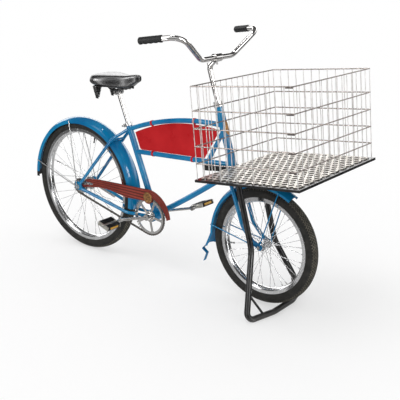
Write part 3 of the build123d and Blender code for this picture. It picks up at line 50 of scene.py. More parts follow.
class Shade:
    """One socket of a node tree. Sums of wrapped sockets and numbers add the Math nodes that work them out."""

    def __init__(self, tree, socket):
        self.tree = tree
        self.socket = socket

    def feed(self, node, sockets):
        """Give a node's sockets their values, or links where a value is a wrapped socket."""
        for name, value in sockets.items():
            if isinstance(value, Shade):
                self.tree.links.new(value.socket, node.inputs[name])
            else:
                node.inputs[name].default_value = value

    def node(self, kind, settings, sockets, output=0):
        """Add a node of any type: its settings first, then the values or links of its sockets."""
        made = self.tree.nodes.new("ShaderNode" + kind)
        for name, value in settings.items():
            setattr(made, name, value)
        self.feed(made, sockets)
        return Shade(self.tree, made.outputs[output])

    def sum(self, operation, first, second):
        return self.node("Math", {"operation": operation}, {0: first, 1: second})

    def __add__(self, other):
        return self.sum("ADD", self, other)

    def __radd__(self, other):
        return self.sum("ADD", other, self)

    def __sub__(self, other):
        return self.sum("SUBTRACT", self, other)

    def __rsub__(self, other):
        return self.sum("SUBTRACT", other, self)

    def __mul__(self, other):
        return self.sum("MULTIPLY", self, other)

    def __rmul__(self, other):
        return self.sum("MULTIPLY", other, self)

    def __lt__(self, other):
        return self.sum("LESS_THAN", self, other)

    def __gt__(self, other):
        return self.sum("GREATER_THAN", self, other)


def step(value, low, high):
    """0 below the low value, 1 above the high one and a straight ramp between."""
    return value.node("MapRange", {}, {"Value": value, "From Min": low, "From Max": high})


def between(value, rise, fall):
    """1 from the end of one ramp to the start of another, and 0 outside both."""
    return step(value, *rise) * (1 - step(value, *fall))


def reach_along(vector, direction):
    """How far a vector reaches along a direction."""
    return vector.node("VectorMath", {"operation": "DOT_PRODUCT"}, {0: vector, 1: direction}, "Value")


camera_spot = (2.1899, -2.4822, 1.4229)
turn, dip = np.radians((38.72, 17.92))
right = np.array((np.cos(turn), np.sin(turn), 0.0))
back = np.array((np.sin(turn) * np.cos(dip), -np.cos(turn) * np.cos(dip), np.sin(dip)))
camera_place = np.column_stack((right, np.cross(back, right), back, camera_spot))
camera = bpy.data.objects.new("camera", bpy.data.cameras.new("camera"))
camera.data.lens = 67.76
camera.data.sensor_width = 36.0
camera.data.clip_end = 300.0
camera.matrix_world = Matrix(np.vstack((camera_place, (0, 0, 0, 1))).tolist())
scene.collection.objects.link(camera)
scene.camera = camera

even_light = 0.88
room_light = 0.05
far_wall_light = 2.2
near_wall_light = 1.1
ceiling_light = 0.08
near_floor_light = 0.42
strip_light = 5.0
strip_angles = (58, -46)
strip_edges = np.cos(np.radians((6, 4)))
strip_reach = 0.8
scene.world = bpy.data.worlds.new("studio")
scene.world.use_nodes = True
scene.world.cycles.sampling_method = "NONE"
sky_tree = scene.world.node_tree
sky = Shade(sky_tree, sky_tree.nodes.new("ShaderNodeTexCoord").outputs["Generated"])
seen = sky.node("LightPath", {}, {}, "Is Camera Ray")
mirrored = sky.node("LightPath", {}, {}, "Is Glossy Ray")
through = sky.node("LightPath", {}, {}, "Is Transmission Ray")
behind = reach_along(sky, (-back[0], -back[1], 0))
above = sky.node("SeparateXYZ", {}, {"Vector": sky}, 2)
far_wall = step(behind, 0.0, 0.4) * between(above, (0.0, 0.1), (0.34, 0.42))
near_wall = (1 - step(behind, -0.4, 0.0)) * between(above, (0.16, 0.24), (0.50, 0.58))
ceiling = step(above, 0.55, 0.85)
near_floor = 1 - step(above, -0.36, -0.20)
flattened = sky.node("VectorMath", {"operation": "MULTIPLY"}, {0: sky, 1: (1, 1, 0)})
level = sky.node("VectorMath", {"operation": "NORMALIZE"}, {0: flattened})


def strip(angle):
    """Upright band of light as seen in gloss, at an angle round from the camera."""
    aim = turn + np.radians(angle)
    return step(reach_along(level, (np.sin(aim), -np.cos(aim), 0)), *strip_edges)


strips = (strip(strip_angles[0]) + strip(strip_angles[1])) * (above > -strip_reach) * (above < strip_reach)
lit_walls = far_wall * far_wall_light + near_wall * near_wall_light
lit_room = room_light + lit_walls + ceiling * ceiling_light + near_floor * near_floor_light
reflected = lit_room + strips * strip_light
shown = seen + through
sky.feed(sky_tree.nodes["Background"], {
    "Color": (1, 1, 1, 1),
    "Strength": shown + mirrored * reflected + (1 - shown - mirrored) * even_light,
})

overhead = bpy.data.objects.new("overhead", bpy.data.lights.new("overhead", "SUN"))
overhead.data.energy = 0.48
overhead.data.angle = np.radians(34)
overhead.rotation_euler = np.radians((20, -14, 0))
scene.collection.objects.link(overhead)
bicycle_heart = Vector((0.0, 0.0, 0.6))


def soft_box(name, place, size, watts):
    """Square lamp that faces the bicycle and shows only in gloss."""
    lamp = bpy.data.objects.new(name, bpy.data.lights.new(name, "AREA"))
    lamp.data.energy = watts
    lamp.data.size = size
    lamp.location = place
    lamp.rotation_euler = (Vector(place) - bicycle_heart).to_track_quat("Z", "Y").to_euler()
    lamp.visible_diffuse = False
    scene.collection.objects.link(lamp)


soft_box("top_box", (-0.5, 0.5, 3.4), 0.5, 16.0)
soft_box("front_box", (3.2, -0.6, 1.9), 1.0, 40.0)
soft_box("side_box", (-1.6, -2.8, 1.9), 1.0, 40.0)

floor_half = 120.0
floor_white = (0.98, 0.98, 0.98, 1)
floor_glow = 0.5
floor_mesh = bpy.data.meshes.new("floor")
floor_corners = np.array(((-1, -1, 0), (1, -1, 0), (1, 1, 0), (-1, 1, 0))) * floor_half
floor_mesh.from_pydata(floor_corners.tolist(), [], [(0, 1, 2, 3)])
floor = bpy.data.objects.new("floor", floor_mesh)
scene.collection.objects.link(floor)
floor_paper = bpy.data.materials.new("floor_paper")
floor_paper.use_nodes = True
floor_tree = floor_paper.node_tree
floor_shader = floor_tree.nodes["Principled BSDF"]
floor_seen = Shade(floor_tree, floor_tree.nodes.new("ShaderNodeLightPath").outputs["Is Camera Ray"])
floor_seen.feed(floor_shader, {"Base Color": floor_white, "Roughness": 1.0, "Specular IOR Level": 0.0})
floor_paint = Shade(floor_tree, floor_shader.outputs[0])
floor_lit = floor_seen.node("Emission", {}, {"Color": (1, 1, 1, 1), "Strength": 1.0})
floor_mix = floor_seen.node("MixShader", {}, {0: floor_seen * floor_glow, 1: floor_paint, 2: floor_lit})
floor_seen.feed(floor_tree.nodes["Material Output"], {"Surface": floor_mix})
floor_mesh.materials.append(floor_paper)
floor.visible_glossy = False

# The frame is brazed from plain steel tubes: an arched top tube, two straight tubes below it, the seat tube, the head
# tube and the stays. It is brush painted in one coat of bright blue enamel, which has gone cloudy and chipped a little.
blue_deep = (0.0015, 0.135, 0.330, 1)
blue_faded = (0.004, 0.225, 0.450, 1)
bare_primer = (0.030, 0.026, 0.024, 1)


def new_finish(name):
    """New material, with its shader and its Object coordinates wrapped."""
    material = bpy.data.materials.new(name)
    material.use_nodes = True
    tree = material.node_tree
    place = Shade(tree, tree.nodes.new("ShaderNodeTexCoord").outputs["Object"])
    return material, tree.nodes["Principled BSDF"], place


def cloud(place, scale, detail=2.0):
    """Cloudy value between 0 and 1, with features of about one over the scale, in metres."""
    return place.node("TexNoise", {}, {"Vector": place, "Scale": scale, "Detail": detail})


def tint(mask, first, second):
    """Colour that goes from the first to the second as the mask goes from 0 to 1."""
    return mask.node("Mix", {"data_type": "RGBA"}, {0: mask, 6: first, 7: second}, 2)


def raised(height, strength, depth):
    """Normal of the surface once a height between 0 and 1 has raised it by a depth, in metres."""
    return height.node("Bump", {}, {"Strength": strength, "Distance": depth, "Height": height})


def enamel(name, deep, faded, chip_limit, gloss, coat):
    """Gloss enamel: two tones in slow clouds, brush marks in its skin, and chips down to the primer."""
    material, shader, place = new_finish(name)
    fade = step(cloud(place, 9.0, 4.0), 0.3, 0.7)
    chips = step(cloud(place, 110.0, 4.0), chip_limit, chip_limit + 0.02) * step(cloud(place, 6.0), 0.45, 0.6)
    skin_marks = cloud(place, 260.0) * 0.6 - chips
    place.feed(shader, {
        "Base Color": tint(chips, tint(fade, deep, faded), bare_primer),
        "Roughness": gloss + fade * 0.10 + chips * 0.4,
        "Specular IOR Level": 0.1,
        "Coat Weight": coat - chips * coat,
        "Coat Roughness": 0.06,
        "Normal": raised(skin_marks, 0.10, 0.0004),
    })
    return material


def paint(material, *nodes):
    """Give CAD nodes a material, in every slot that they have."""
    for node in nodes:
        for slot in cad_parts[node].material_slots:
            slot.material = material


blue_enamel = enamel("blue_enamel", blue_deep, blue_faded, 0.70, 0.20, 0.7)
paint(
    blue_enamel, "head_tube", "seat_tube", "top_tube", "down_tube", "lower_tube", "head_strut",
    "bottom_bracket_shell", "chain_stays", "seat_stays", "fender_bridge", "rear_dropouts",
)

# The sign panel is a steel sheet cut to the space between the tubes and hung on four straps. It is sprayed bright red
# on both sides, and its faces are plain.
red_deep = (0.440, 0.008, 0.012, 1)
red_faded = (0.560, 0.016, 0.020, 1)
red_enamel = enamel("red_enamel", red_deep, red_faded, 0.74, 0.24, 0.08)
paint(red_enamel, "sign_panel")

# The chain guard is pressed from sheet with raised ribs and clipped to the frame. Its old maroon paint has dulled,
# and its grooves are darkened with painted shade: straight ones on its blade and rings on the hood over the chainring.
maroon_deep = (0.190, 0.022, 0.016, 1)
maroon_faded = (0.300, 0.048, 0.032, 1)
groove_shade = (0.030, 0.010, 0.009, 1)
# Places of the grooves, in metres forward from the rear axle and up from the ground
blade_tail = 0.130
blade_low, blade_low_slope = 0.352, -0.030
blade_high, blade_high_slope = 0.391, 0.037
blade_grooves = 4
hood_x, hood_z = 0.466, 0.271
hood_start = 0.470
hood_first_groove = 0.107
hood_groove_step = 0.009


def reopened(material):
    """Shader, Object coordinates and colour of a finish that gets one more layer."""
    tree = material.node_tree
    shader = tree.nodes["Principled BSDF"]
    place = Shade(tree, tree.nodes["Texture Coordinate"].outputs["Object"])
    return shader, place, Shade(tree, shader.inputs["Base Color"].links[0].from_socket)


def axis(place, index):
    """One of the three coordinates."""
    return place.node("SeparateXYZ", {}, {"Vector": place}, index)


def near_lines(share):
    """1 where a value is near a whole number, falling to 0 beside it."""
    return 1 - step(share.sum("PINGPONG", share + 1000, 0.5), 0.12, 0.24)


def middle(node):
    """Middle of a CAD node's box."""
    low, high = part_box(node)
    return (np.array(low) + np.array(high)) / 2


rear_axle_x = middle("rear_hub")[0]
maroon_enamel = enamel("maroon_enamel", maroon_deep, maroon_faded, 0.66, 0.34, 0.3)
maroon_shader, maroon_place, maroon_coat = reopened(maroon_enamel)
guard_x = axis(maroon_place, 0) - rear_axle_x
guard_z = axis(maroon_place, 2)
guard_low = blade_low + (guard_x - blade_tail) * blade_low_slope
guard_high = blade_high + (guard_x - blade_tail) * blade_high_slope
guard_share = guard_x.sum("DIVIDE", guard_z - guard_low, guard_high - guard_low)
hood_offset = maroon_place.node("CombineXYZ", {}, {0: guard_x - hood_x, 1: guard_z - hood_z})
hood_reach = maroon_place.node("VectorMath", {"operation": "LENGTH"}, {0: hood_offset}, "Value")
on_hood = guard_x > hood_start
blade_lines = near_lines(guard_share * blade_grooves)
hood_lines = near_lines((hood_reach - hood_first_groove) * (1 / hood_groove_step))
# Painted shade along the grooves between the ribs, on the blade and round the hood.
groove = blade_lines * (1 - on_hood) + hood_lines * on_hood
maroon_place.feed(maroon_shader, {"Base Color": tint(groove * 0.8, maroon_coat, groove_shade)})
paint(maroon_enamel, "chain_guard")

# Two plain stamped brass plates: a round one on the chain guard and an upright one bent round the head tube.
# They have a raised rim and a slightly domed field, and have tarnished brown in the hollows.
brass_bright = (0.480, 0.250, 0.090, 1)
brass_tarnish = (0.100, 0.045, 0.022, 1)
medallion_x, medallion_y, medallion_z = 464.0, -51.1, 364.0
# Radius and height of the medallion's steps, from the middle of the field over the rim to the middle of the back
medallion_steps = np.array((
    (0.0, 1.9), (7.0, 1.8), (14.0, 1.5), (17.5, 1.2), (18.5, 1.9), (20.0, 1.9), (21.0, 1.1), (23.0, 1.1),
    (24.0, 2.2), (25.4, 2.2), (26.0, 1.4), (26.0, 0.0), (0.0, 0.0),
))
# Share of the head plate's size and height of its steps, in the same order
plate_steps = np.array((
    (0.0, 1.5), (0.45, 1.4), (0.72, 1.1), (0.80, 1.8), (0.92, 1.8), (1.0, 1.2), (1.0, 0.1), (0.0, 0.1),
))
plate_half_width = 13.0
plate_half_height = 30.0
plate_level = 735.0
head_radius = 18.0
head_plate_radius = 19.0
front_axle = (1081.0, 265.0)
steer_lean = np.radians(17.5)
fork_rake = 67.6


def shared(points):
    """Points in millimetres forward from the rear axle, left and up from the ground, moved to the shared frame."""
    return np.asarray(points) * 0.001 + (rear_axle_x, 0.0, 0.0)


def stacked(x, y, z):
    """Three coordinate arrays of any shapes that fit together, joined to an array of points."""
    return np.stack(np.broadcast_arrays(x, y, z), axis=-1).astype(float)


def tipped_axes(lean):
    """Forward, left and up axes, tipped back by a lean."""
    return np.array(((np.cos(lean), 0.0, np.sin(lean)), (0.0, 1.0, 0.0), (-np.sin(lean), 0.0, np.cos(lean))))


def skin(name, points, body, material, around=True, along=False, crease=40.0):
    """Mesh over one or more grids of points, rows by columns, with quads between neighbours.
    It closes from the last column to the first if around is true, and from the last row to the first if along is."""
    grids = points.reshape((-1,) + points.shape[-3:])
    copies, rows, columns = grids.shape[:3]
    index = np.arange(copies * rows * columns).reshape(copies, rows, columns)
    if along:
        index = np.concatenate((index, index[:, :1]), axis=1)
    if around:
        index = np.concatenate((index, index[:, :, :1]), axis=2)
    quads = np.stack((index[:, :-1, :-1], index[:, :-1, 1:], index[:, 1:, 1:], index[:, 1:, :-1]), axis=-1)
    mesh = bpy.data.meshes.new(name)
    mesh.from_pydata(shared(grids).reshape(-1, 3).tolist(), [], quads.reshape(-1, 4).tolist())
    shell = bmesh.new()
    shell.from_mesh(mesh)
    bmesh.ops.remove_doubles(shell, verts=shell.verts, dist=1e-7)
    bmesh.ops.recalc_face_normals(shell, faces=shell.faces)
    shell.to_mesh(mesh)
    shell.free()
    mesh.polygons.foreach_set("use_smooth", np.ones(len(mesh.polygons), bool))
    mesh.set_sharp_from_angle(angle=np.radians(crease))
    mesh.materials.append(material)
    piece = bpy.data.objects.new(name, mesh)
    scene.collection.objects.link(piece)
    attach(piece, body)
    return piece


old_brass, brass_shader, brass_place = new_finish("old_brass")
tarnish = step(cloud(brass_place, 160.0, 5.0), 0.38, 0.68)
brass_place.feed(brass_shader, {
    "Base Color": tint(tarnish, brass_bright, brass_tarnish),
    "Metallic": 1 - tarnish * 0.5,
    "Roughness": 0.32 + tarnish * 0.3,
    "Normal": raised(cloud(brass_place, 700.0), 0.2, 0.0002),
})
spread = np.linspace(0, 2 * np.pi, 48, endpoint=False)
medallion = skin(
    "medallion",
    stacked(
        medallion_x + medallion_steps[:, :1] * np.cos(spread),
        medallion_y - medallion_steps[:, 1:],
        medallion_z + medallion_steps[:, :1] * np.sin(spread),
    ),
    "frame", old_brass,
)
steer_axes = tipped_axes(steer_lean)
steer_foot = np.array((front_axle[0], 0.0, front_axle[1])) - steer_axes[0] * fork_rake


def head_plate():
    """Plate bent round the head tube: an upright oval whose field is domed inside a raised rim. One parameter runs
    out from the middle and over the rim to the back, the other round the oval."""
    share, lift = plate_steps.T[:, :, None]
    bend = share * np.arcsin(plate_half_width / head_plate_radius) * np.cos(spread)
    rise = share * plate_half_height * np.sin(spread)
    reach = head_radius + lift
    height = (plate_level - steer_foot[2]) / steer_axes[2, 2]
    return steer_foot + stacked(reach * np.cos(bend), reach * np.sin(bend), height + rise) @ steer_axes


head_badge = skin("head_badge", head_plate(), "frame", old_brass)
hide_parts("badges")
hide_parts("badges")

# The rear fender is rolled from sheet with short skirts and painted with the frame, with a black tip at its tail.
# Four bright rods from the axle hold it. They, the axles' nuts, cups and clamps are zinc plated steel.
tip_black = (0.012, 0.012, 0.013, 1)
tip_height = 0.349
tip_x = -0.80
fender_enamel = enamel("fender_enamel", blue_deep, blue_faded, 0.70, 0.16, 0.8)
fender_shader, fender_place, fender_blue = reopened(fender_enamel)
tail_tip = (axis(fender_place, 2) < tip_height) * (axis(fender_place, 0) < tip_x)
fender_place.feed(fender_shader, {"Base Color": tint(tail_tip, fender_blue, tip_black)})
paint(fender_enamel, "rear_fender")
pit_brown = (0.10, 0.075, 0.055, 1)


def plated(name, bright, dull, smooth, pits):
    """Plated steel: bright metal with slow dull clouds and fine dark pits."""
    material, shader, place = new_finish(name)
    haze = step(cloud(place, 24.0, 4.0), 0.35, 0.75)
    pitting = step(cloud(place, 900.0, 3.0), 0.64, 0.72) * step(cloud(place, 30.0), 0.4, 0.6) * pits
    place.feed(shader, {
        "Base Color": tint(pitting, tint(haze, bright, dull), pit_brown),
        "Metallic": 1 - pitting * 0.6,
        "Roughness": smooth + haze * 0.12 + pitting * 0.4,
        "Normal": raised(1 - pitting, 0.12 * pits, 0.0002),
    })
    return material


zinc_steel = plated("zinc_steel", (0.72, 0.72, 0.72, 1), (0.48, 0.47, 0.46, 1), 0.26, 0.7)
paint(
    zinc_steel, "rear_fender_braces", "rear_axle", "front_axle", "brake_arm", "seat_clamp", "headset_cups",
    "headset_locknut", "bottom_bracket_cups", "rear_cog", "saddle_clamp",
)

# The carrier is a welded platform of black painted bar on two arms that clamp the frame, scuffed along its edges.
# The stand below it is one bent tube in the same paint, rubbed grey where it meets the floor.
black_coal = (0.010, 0.010, 0.011, 1)
black_dusty = (0.028, 0.027, 0.026, 1)
black_worn = (0.13, 0.125, 0.12, 1)
black_enamel, black_shader, black_place = new_finish("black_enamel")
black_dust = step(cloud(black_place, 30.0, 5.0), 0.35, 0.8)
black_scuffs = step(cloud(black_place, 180.0, 4.0), 0.68, 0.74)
black_foot = 1 - step(axis(black_place, 2), 0.004, 0.030)
black_rubbed = black_scuffs * 0.5 + black_foot * 0.6
black_place.feed(black_shader, {
    "Base Color": tint(black_rubbed, tint(black_dust, black_coal, black_dusty), black_worn),
    "Roughness": 0.26 + black_dust * 0.14 + black_rubbed * 0.3,
    "Specular IOR Level": 0.1,
    "Coat Weight": 0.55 - black_rubbed * 0.4,
    "Coat Roughness": 0.10,
    "Normal": raised(cloud(black_place, 300.0), 0.15, 0.0004),
})
paint(black_enamel, "carrier_frame", "carrier_arms", "stand")

# The basket is welded from zinc plated wire: upright wires on five hoops. Each hoop's ends are lapped at the front
# corner on the drive side and welded, which has burnt the plating there.
# The hoops' darker colour is painted shade: a shaded copy of the same wire, for the level wires catching less light.
shaded_hoop_steel = (0.36, 0.32, 0.30, 1)
hoop_heights = (62.0, 130.0, 199.0, 268.0, 362.0)
hoop_margin = 0.0026
lap_start, lap_length = 430.0, 34.0
lap_side = -284.0
lap_drop = 4.2
carrier_rear = np.array((942.0, 0.0, 593.4))
carrier_axes = tipped_axes(np.radians(5.75))


def on_carrier(forward, side, up):
    """Points measured in the carrier's tipped plane, forward from its rear edge, left and up."""
    return carrier_rear + stacked(forward, side, up) @ carrier_axes


def carrier_height(place):
    """Height in metres above the carrier's tipped plane."""
    return reach_along(place, carrier_axes[2]) - float(shared(carrier_rear) @ carrier_axes[2])


basket_wire = plated("basket_wire", (0.80, 0.78, 0.77, 1), (0.56, 0.53, 0.51, 1), 0.36, 1.0)
wire_shader, wire_place, wire_plating = reopened(basket_wire)
wire_height = carrier_height(wire_place)
# Painted shade on the hoops: the mask picks the darker copy of the wire's colour at each hoop's height.
on_hoop = sum(
    wire_place.node("Math", {"operation": "COMPARE"}, {0: wire_height, 1: height / 1000, 2: hoop_margin})
    for height in hoop_heights
)
wire_place.feed(wire_shader, {
    "Base Color": tint(on_hoop, wire_plating, shaded_hoop_steel),
    "Metallic": 0.80 + on_hoop * 0.20,
    "Roughness": 0.42 - on_hoop * 0.18,
})
paint(basket_wire, "basket_sides", "basket_ends")
burnt_wire = plated("burnt_wire", (0.16, 0.14, 0.13, 1), (0.07, 0.06, 0.055, 1), 0.42, 1.0)


def hoop_lap_rods():
    """Short rods beside the hoops, one at each height: a profile of radii carried forward, closed at both ends."""
    share = np.array((0.0, 0.02, 0.08, 0.92, 0.98, 1.0))[:, None]
    radius = np.array((0.0, 1.6, 2.4, 2.4, 1.6, 0.0))[:, None]
    ring = np.linspace(0, 2 * np.pi, 10, endpoint=False)
    height = np.array(hoop_heights)[:, None, None] - lap_drop
    return on_carrier(
        lap_start + lap_length * share, lap_side + radius * np.cos(ring), height + radius * np.sin(ring)
    )


skin("hoop_laps", hoop_lap_rods(), "frame", burnt_wire)

# The basket's floor is flattened expanded steel mesh, slit and drawn from one sheet, so that its strands zigzag and
# meet in bonds. It lies on the carrier inside the basket's walls, and the sides of its strands carry painted shade.
strand_side_shade = (0.14, 0.12, 0.10, 1)
mesh_rear, mesh_front = 9.4, 460.6
mesh_half_width = 280.6
mesh_lift = 0.1
diamonds = 15
strands = 18
strand_wide = 17.0
strand_thick = 4.0
mesh_steel = plated("mesh_steel", (0.86, 0.82, 0.76, 1), (0.66, 0.61, 0.55, 1), 0.34, 1.0)
mesh_shader, mesh_place, mesh_plating = reopened(mesh_steel)
# Painted shade: below their top faces the strands' sides are darkened and made less metallic, for the shadows between
# them.
strand_side_shade_mask = 1 - step(carrier_height(mesh_place), strand_thick * 0.00080, strand_thick * 0.00096)
mesh_place.feed(mesh_shader, {
    "Base Color": tint(strand_side_shade_mask, mesh_plating, strand_side_shade),
    "Metallic": 0.9 - strand_side_shade_mask * 0.8,
})


def mesh_strands():
    """Square bars carried forward along zigzags. Neighbours swing opposite ways, and lie side by side for a short
    way at each end of a swing, which is a bond."""
    knots = np.array((0.0, 0.07, 0.43, 0.50, 0.57, 0.93))
    swing = np.array((1.0, 1.0, -1.0, -1.0, -1.0, 1.0))
    run = np.append((np.arange(diamonds)[:, None] + knots).ravel(), diamonds)
    sway = np.append(np.tile(swing, diamonds), 1.0)
    sign = np.where(np.arange(strands) % 2 == 0, 1.0, -1.0)[:, None]
    pitch = 2 * mesh_half_width / strands
    centre = (np.arange(strands) + 0.5)[:, None] * pitch - mesh_half_width
    side = centre + sign * sway * (pitch - strand_wide) / 2
    forward = mesh_rear + run * (mesh_front - mesh_rear) / diamonds
    corner_side = np.array((-0.5, 0.5, 0.5, -0.5)) * strand_wide
    corner_up = mesh_lift + np.array((0.0, 0.0, 1.0, 1.0)) * strand_thick
    return on_carrier(forward[:, None], side[:, :, None] + corner_side, corner_up)


basket_mesh = skin("basket_mesh", mesh_strands(), "frame", mesh_steel, crease=30.0)
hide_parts("basket_floor")

# The fork is brazed like the frame and painted with it, and so are the front fender, its rods and the bent strap
# that hangs from its tail.
paint(blue_enamel, "fork_crown", "fork_blades", "front_fender", "front_fender_braces")

# The handlebar, its stem and the seat post are bent and turned from steel tube and bar, then polished and chromed.
# Each slides or turns in the clamp that holds it.
bright_chrome = plated("bright_chrome", (0.76, 0.75, 0.74, 1), (0.60, 0.58, 0.56, 1), 0.06, 0.06)
paint(bright_chrome, "stem", "handlebar", "seat_post")

# The grips are moulded black rubber with finger grooves and a fine matt grain, pushed over the ends of the bar.
# Dust has greyed them a little.
grip_black = (0.007, 0.008, 0.009, 1)
grip_grey = (0.020, 0.020, 0.020, 1)
grip_rubber, grip_shader, grip_place = new_finish("grip_rubber")
grip_grain = grip_place.node("TexVoronoi", {}, {"Vector": grip_place, "Scale": 520.0})
grip_dust = step(cloud(grip_place, 45.0, 4.0), 0.4, 0.8)
grip_place.feed(grip_shader, {
    "Base Color": tint(grip_dust, grip_black, grip_grey),
    "Roughness": 0.40 + grip_dust * 0.2,
    "Specular IOR Level": 0.3,
    "Normal": raised(grip_grain, 0.2, 0.0004),
})
paint(grip_rubber, "grips")

# The saddle's steel pan, rails and cone springs are stoved black. The springs are wound from one wire each and
# hang under the pan with their wide ends up.
stove_black = (0.008, 0.008, 0.009, 1)
stove_dusty = (0.020, 0.019, 0.018, 1)
spring_x = 158.0
spring_side = 50.0
spring_top = 851.2
spring_height = 58.0
spring_turns = 8
spring_wire = 3.3
spring_wide, spring_narrow = 19.5, 5.5
black_steel, stove_shader, stove_place = new_finish("black_steel")
stove_dust = step(cloud(stove_place, 70.0, 4.0), 0.4, 0.8)
stove_place.feed(stove_shader, {
    "Base Color": tint(stove_dust, stove_black, stove_dusty),
    "Roughness": 0.34 + stove_dust * 0.2,
    "Normal": raised(cloud(stove_place, 500.0), 0.15, 0.0003),
})
paint(black_steel, "saddle_rails", "saddle_pan")


def cone_spring(side):
    """Wire carried along a falling coil whose radius shrinks evenly. Its ring leaves the centre line outward and
    up, and the first and last rings close to a point."""
    share = np.linspace(0, 1, spring_turns * 28 + 1)[:, None]
    angle = 2 * np.pi * spring_turns * share
    coil = spring_wide + (spring_narrow - spring_wide) * share
    ring = np.linspace(0, 2 * np.pi, 8, endpoint=False)
    wire = spring_wire * np.where((share == 0) | (share == 1), 0.0, 1.0)
    out = coil + wire * np.cos(ring)
    return stacked(
        spring_x + out * np.cos(angle),
        side * spring_side + out * np.sin(angle),
        spring_top - spring_height * share + wire * np.sin(ring),
    )


springs = np.stack((cone_spring(-1), cone_spring(1)))
saddle_coils = skin("saddle_coils", springs, "saddle", black_steel, crease=80.0)
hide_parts("saddle_springs")

# The saddle's cushion is moulded foam under stretched black vinyl, which turns over a full rounded edge, runs down
# the sides as a skirt and is drawn in below, where it is tucked under the pan.
vinyl_black = (0.006, 0.006, 0.007, 1)
vinyl_worn = (0.014, 0.014, 0.015, 1)
cushion_middle, cushion_half_length = 257.0, 131.0
nose_half, tail_flare = 21.0, 79.0
flare_x, flare_run = 258.0, -32.0
cushion_top, nose_lift = 903.5, 11.0
lift_x, lift_run = 335.0, 16.0
cushion_low, nose_rise, tail_rise = 845.0, 38.0, 16.0
nose_rise_x, nose_rise_run = 348.0, 14.0
tail_x, tail_rise_run = 126.0, 45.0
crown = 3.0
top_draw, skirt_draw = 0.09, 0.22
vinyl, vinyl_shader, vinyl_place = new_finish("black_vinyl")
vinyl_cells = {"Vector": vinyl_place, "Scale": 620.0}
vinyl_grain = vinyl_place.node("TexVoronoi", {"feature": "DISTANCE_TO_EDGE"}, vinyl_cells)
vinyl_wear = step(cloud(vinyl_place, 26.0, 4.0), 0.45, 0.8)
vinyl_place.feed(vinyl_shader, {
    "Base Color": tint(vinyl_wear, vinyl_black, vinyl_worn),
    "Roughness": 0.30 + vinyl_wear * 0.12,
    "Coat Weight": 0.6,
    "Coat IOR": 1.8,
    "Coat Roughness": 0.24,
    "Normal": raised(step(vinyl_grain, 0.0, 0.25), 0.10, 0.0003),
})


def s_curve(value, centre, run):
    """Smooth rise from 0 to 1 round a centre, or fall if the run is negative."""
    return 1 / (1 + np.exp((centre - value) / run))


def rounded(part, power):
    """A cosine or sine raised to a power under 1, with its sign kept, which squares a circle's corners."""
    return np.sign(part) * np.abs(part) ** power


def cushion():
    """Closed form on two parameters: the way from tail to nose, and the way round from the top. The half width falls
    from tail to nose in an S curve and is blunt at both ends. The top lifts at the nose, the underside rises to meet
    it, and the section is a soft box, fullest at its middle."""
    share = np.sin(np.linspace(-np.pi / 2, np.pi / 2, 90))[:, None]
    way = np.linspace(-np.pi, np.pi, 96, endpoint=False)
    x = cushion_middle + cushion_half_length * share
    ends = (1 - np.abs(share) ** 8) ** 0.4545
    half = (nose_half + tail_flare * s_curve(x, flare_x, flare_run)) * ends
    top = cushion_top + nose_lift * s_curve(x, lift_x, lift_run)
    nose_low = nose_rise * s_curve(x, nose_rise_x, nose_rise_run)
    low = cushion_low + nose_low + tail_rise * np.exp((tail_x - x) / tail_rise_run)
    centre = (low + top) / 2
    upper = np.cos(way) > 0
    power = np.where(upper, 0.34, 0.50)
    reach = np.where(upper, top - centre, centre - low) * (0.40 + 0.60 * ends)
    up = rounded(np.cos(way), power)
    out = rounded(np.sin(way), power)
    z = centre + reach * up + crown * (1 - out**2) * (up > 0)
    y = half * out * (1 - top_draw * np.clip(up, 0, 1) - skirt_draw * np.clip(-up, 0, 1) ** 2)
    return stacked(x, y, z)


saddle_cushion = skin("saddle_cushion", cushion(), "saddle", vinyl, crease=70.0)
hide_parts("saddle_pad")

# The tyres are black balloon tyres moulded with small staggered tread blocks and thin ribs on the side walls.
# Pale dust has settled between the blocks.
tyre_black = (0.014, 0.014, 0.013, 1)
tyre_grey = (0.038, 0.036, 0.032, 1)
road_dust = (0.340, 0.310, 0.240, 1)
rear_axle = (0.0, 331.0)
rear_radius, front_radius = 331.0, 256.0
rear_blocks, front_blocks = 160, 124
section = 27.0
tread_rows = 8
tread_lean, bead_lean = 58.0, 128.0
tread_depth = 1.8
rib_height = 0.6
# Corners of the flat band inside the rim, out from the middle of the section and to the side
band_out = (-16.8, -22.4, -22.4, -16.8)
band_side = (15.2, 15.2, -15.2, -15.2)
tyre_rubber, tyre_shader, tyre_place = new_finish("tyre_rubber")
tread = tyre_place.node("Attribute", {"attribute_name": "tread"}, {}, "Fac")
tyre_dust = step(cloud(tyre_place, 60.0, 5.0), 0.35, 0.75)
tread_dust = (1 - tread) * (0.35 + tyre_dust * 0.65)
tyre_place.feed(tyre_shader, {
    "Base Color": tint(tread_dust, tint(tyre_dust, tyre_black, tyre_grey), road_dust),
    "Roughness": 0.62 + tyre_dust * 0.25,
    "Specular IOR Level": 0.2,
    "Normal": raised(cloud(tyre_place, 900.0), 0.2, 0.0003),
})


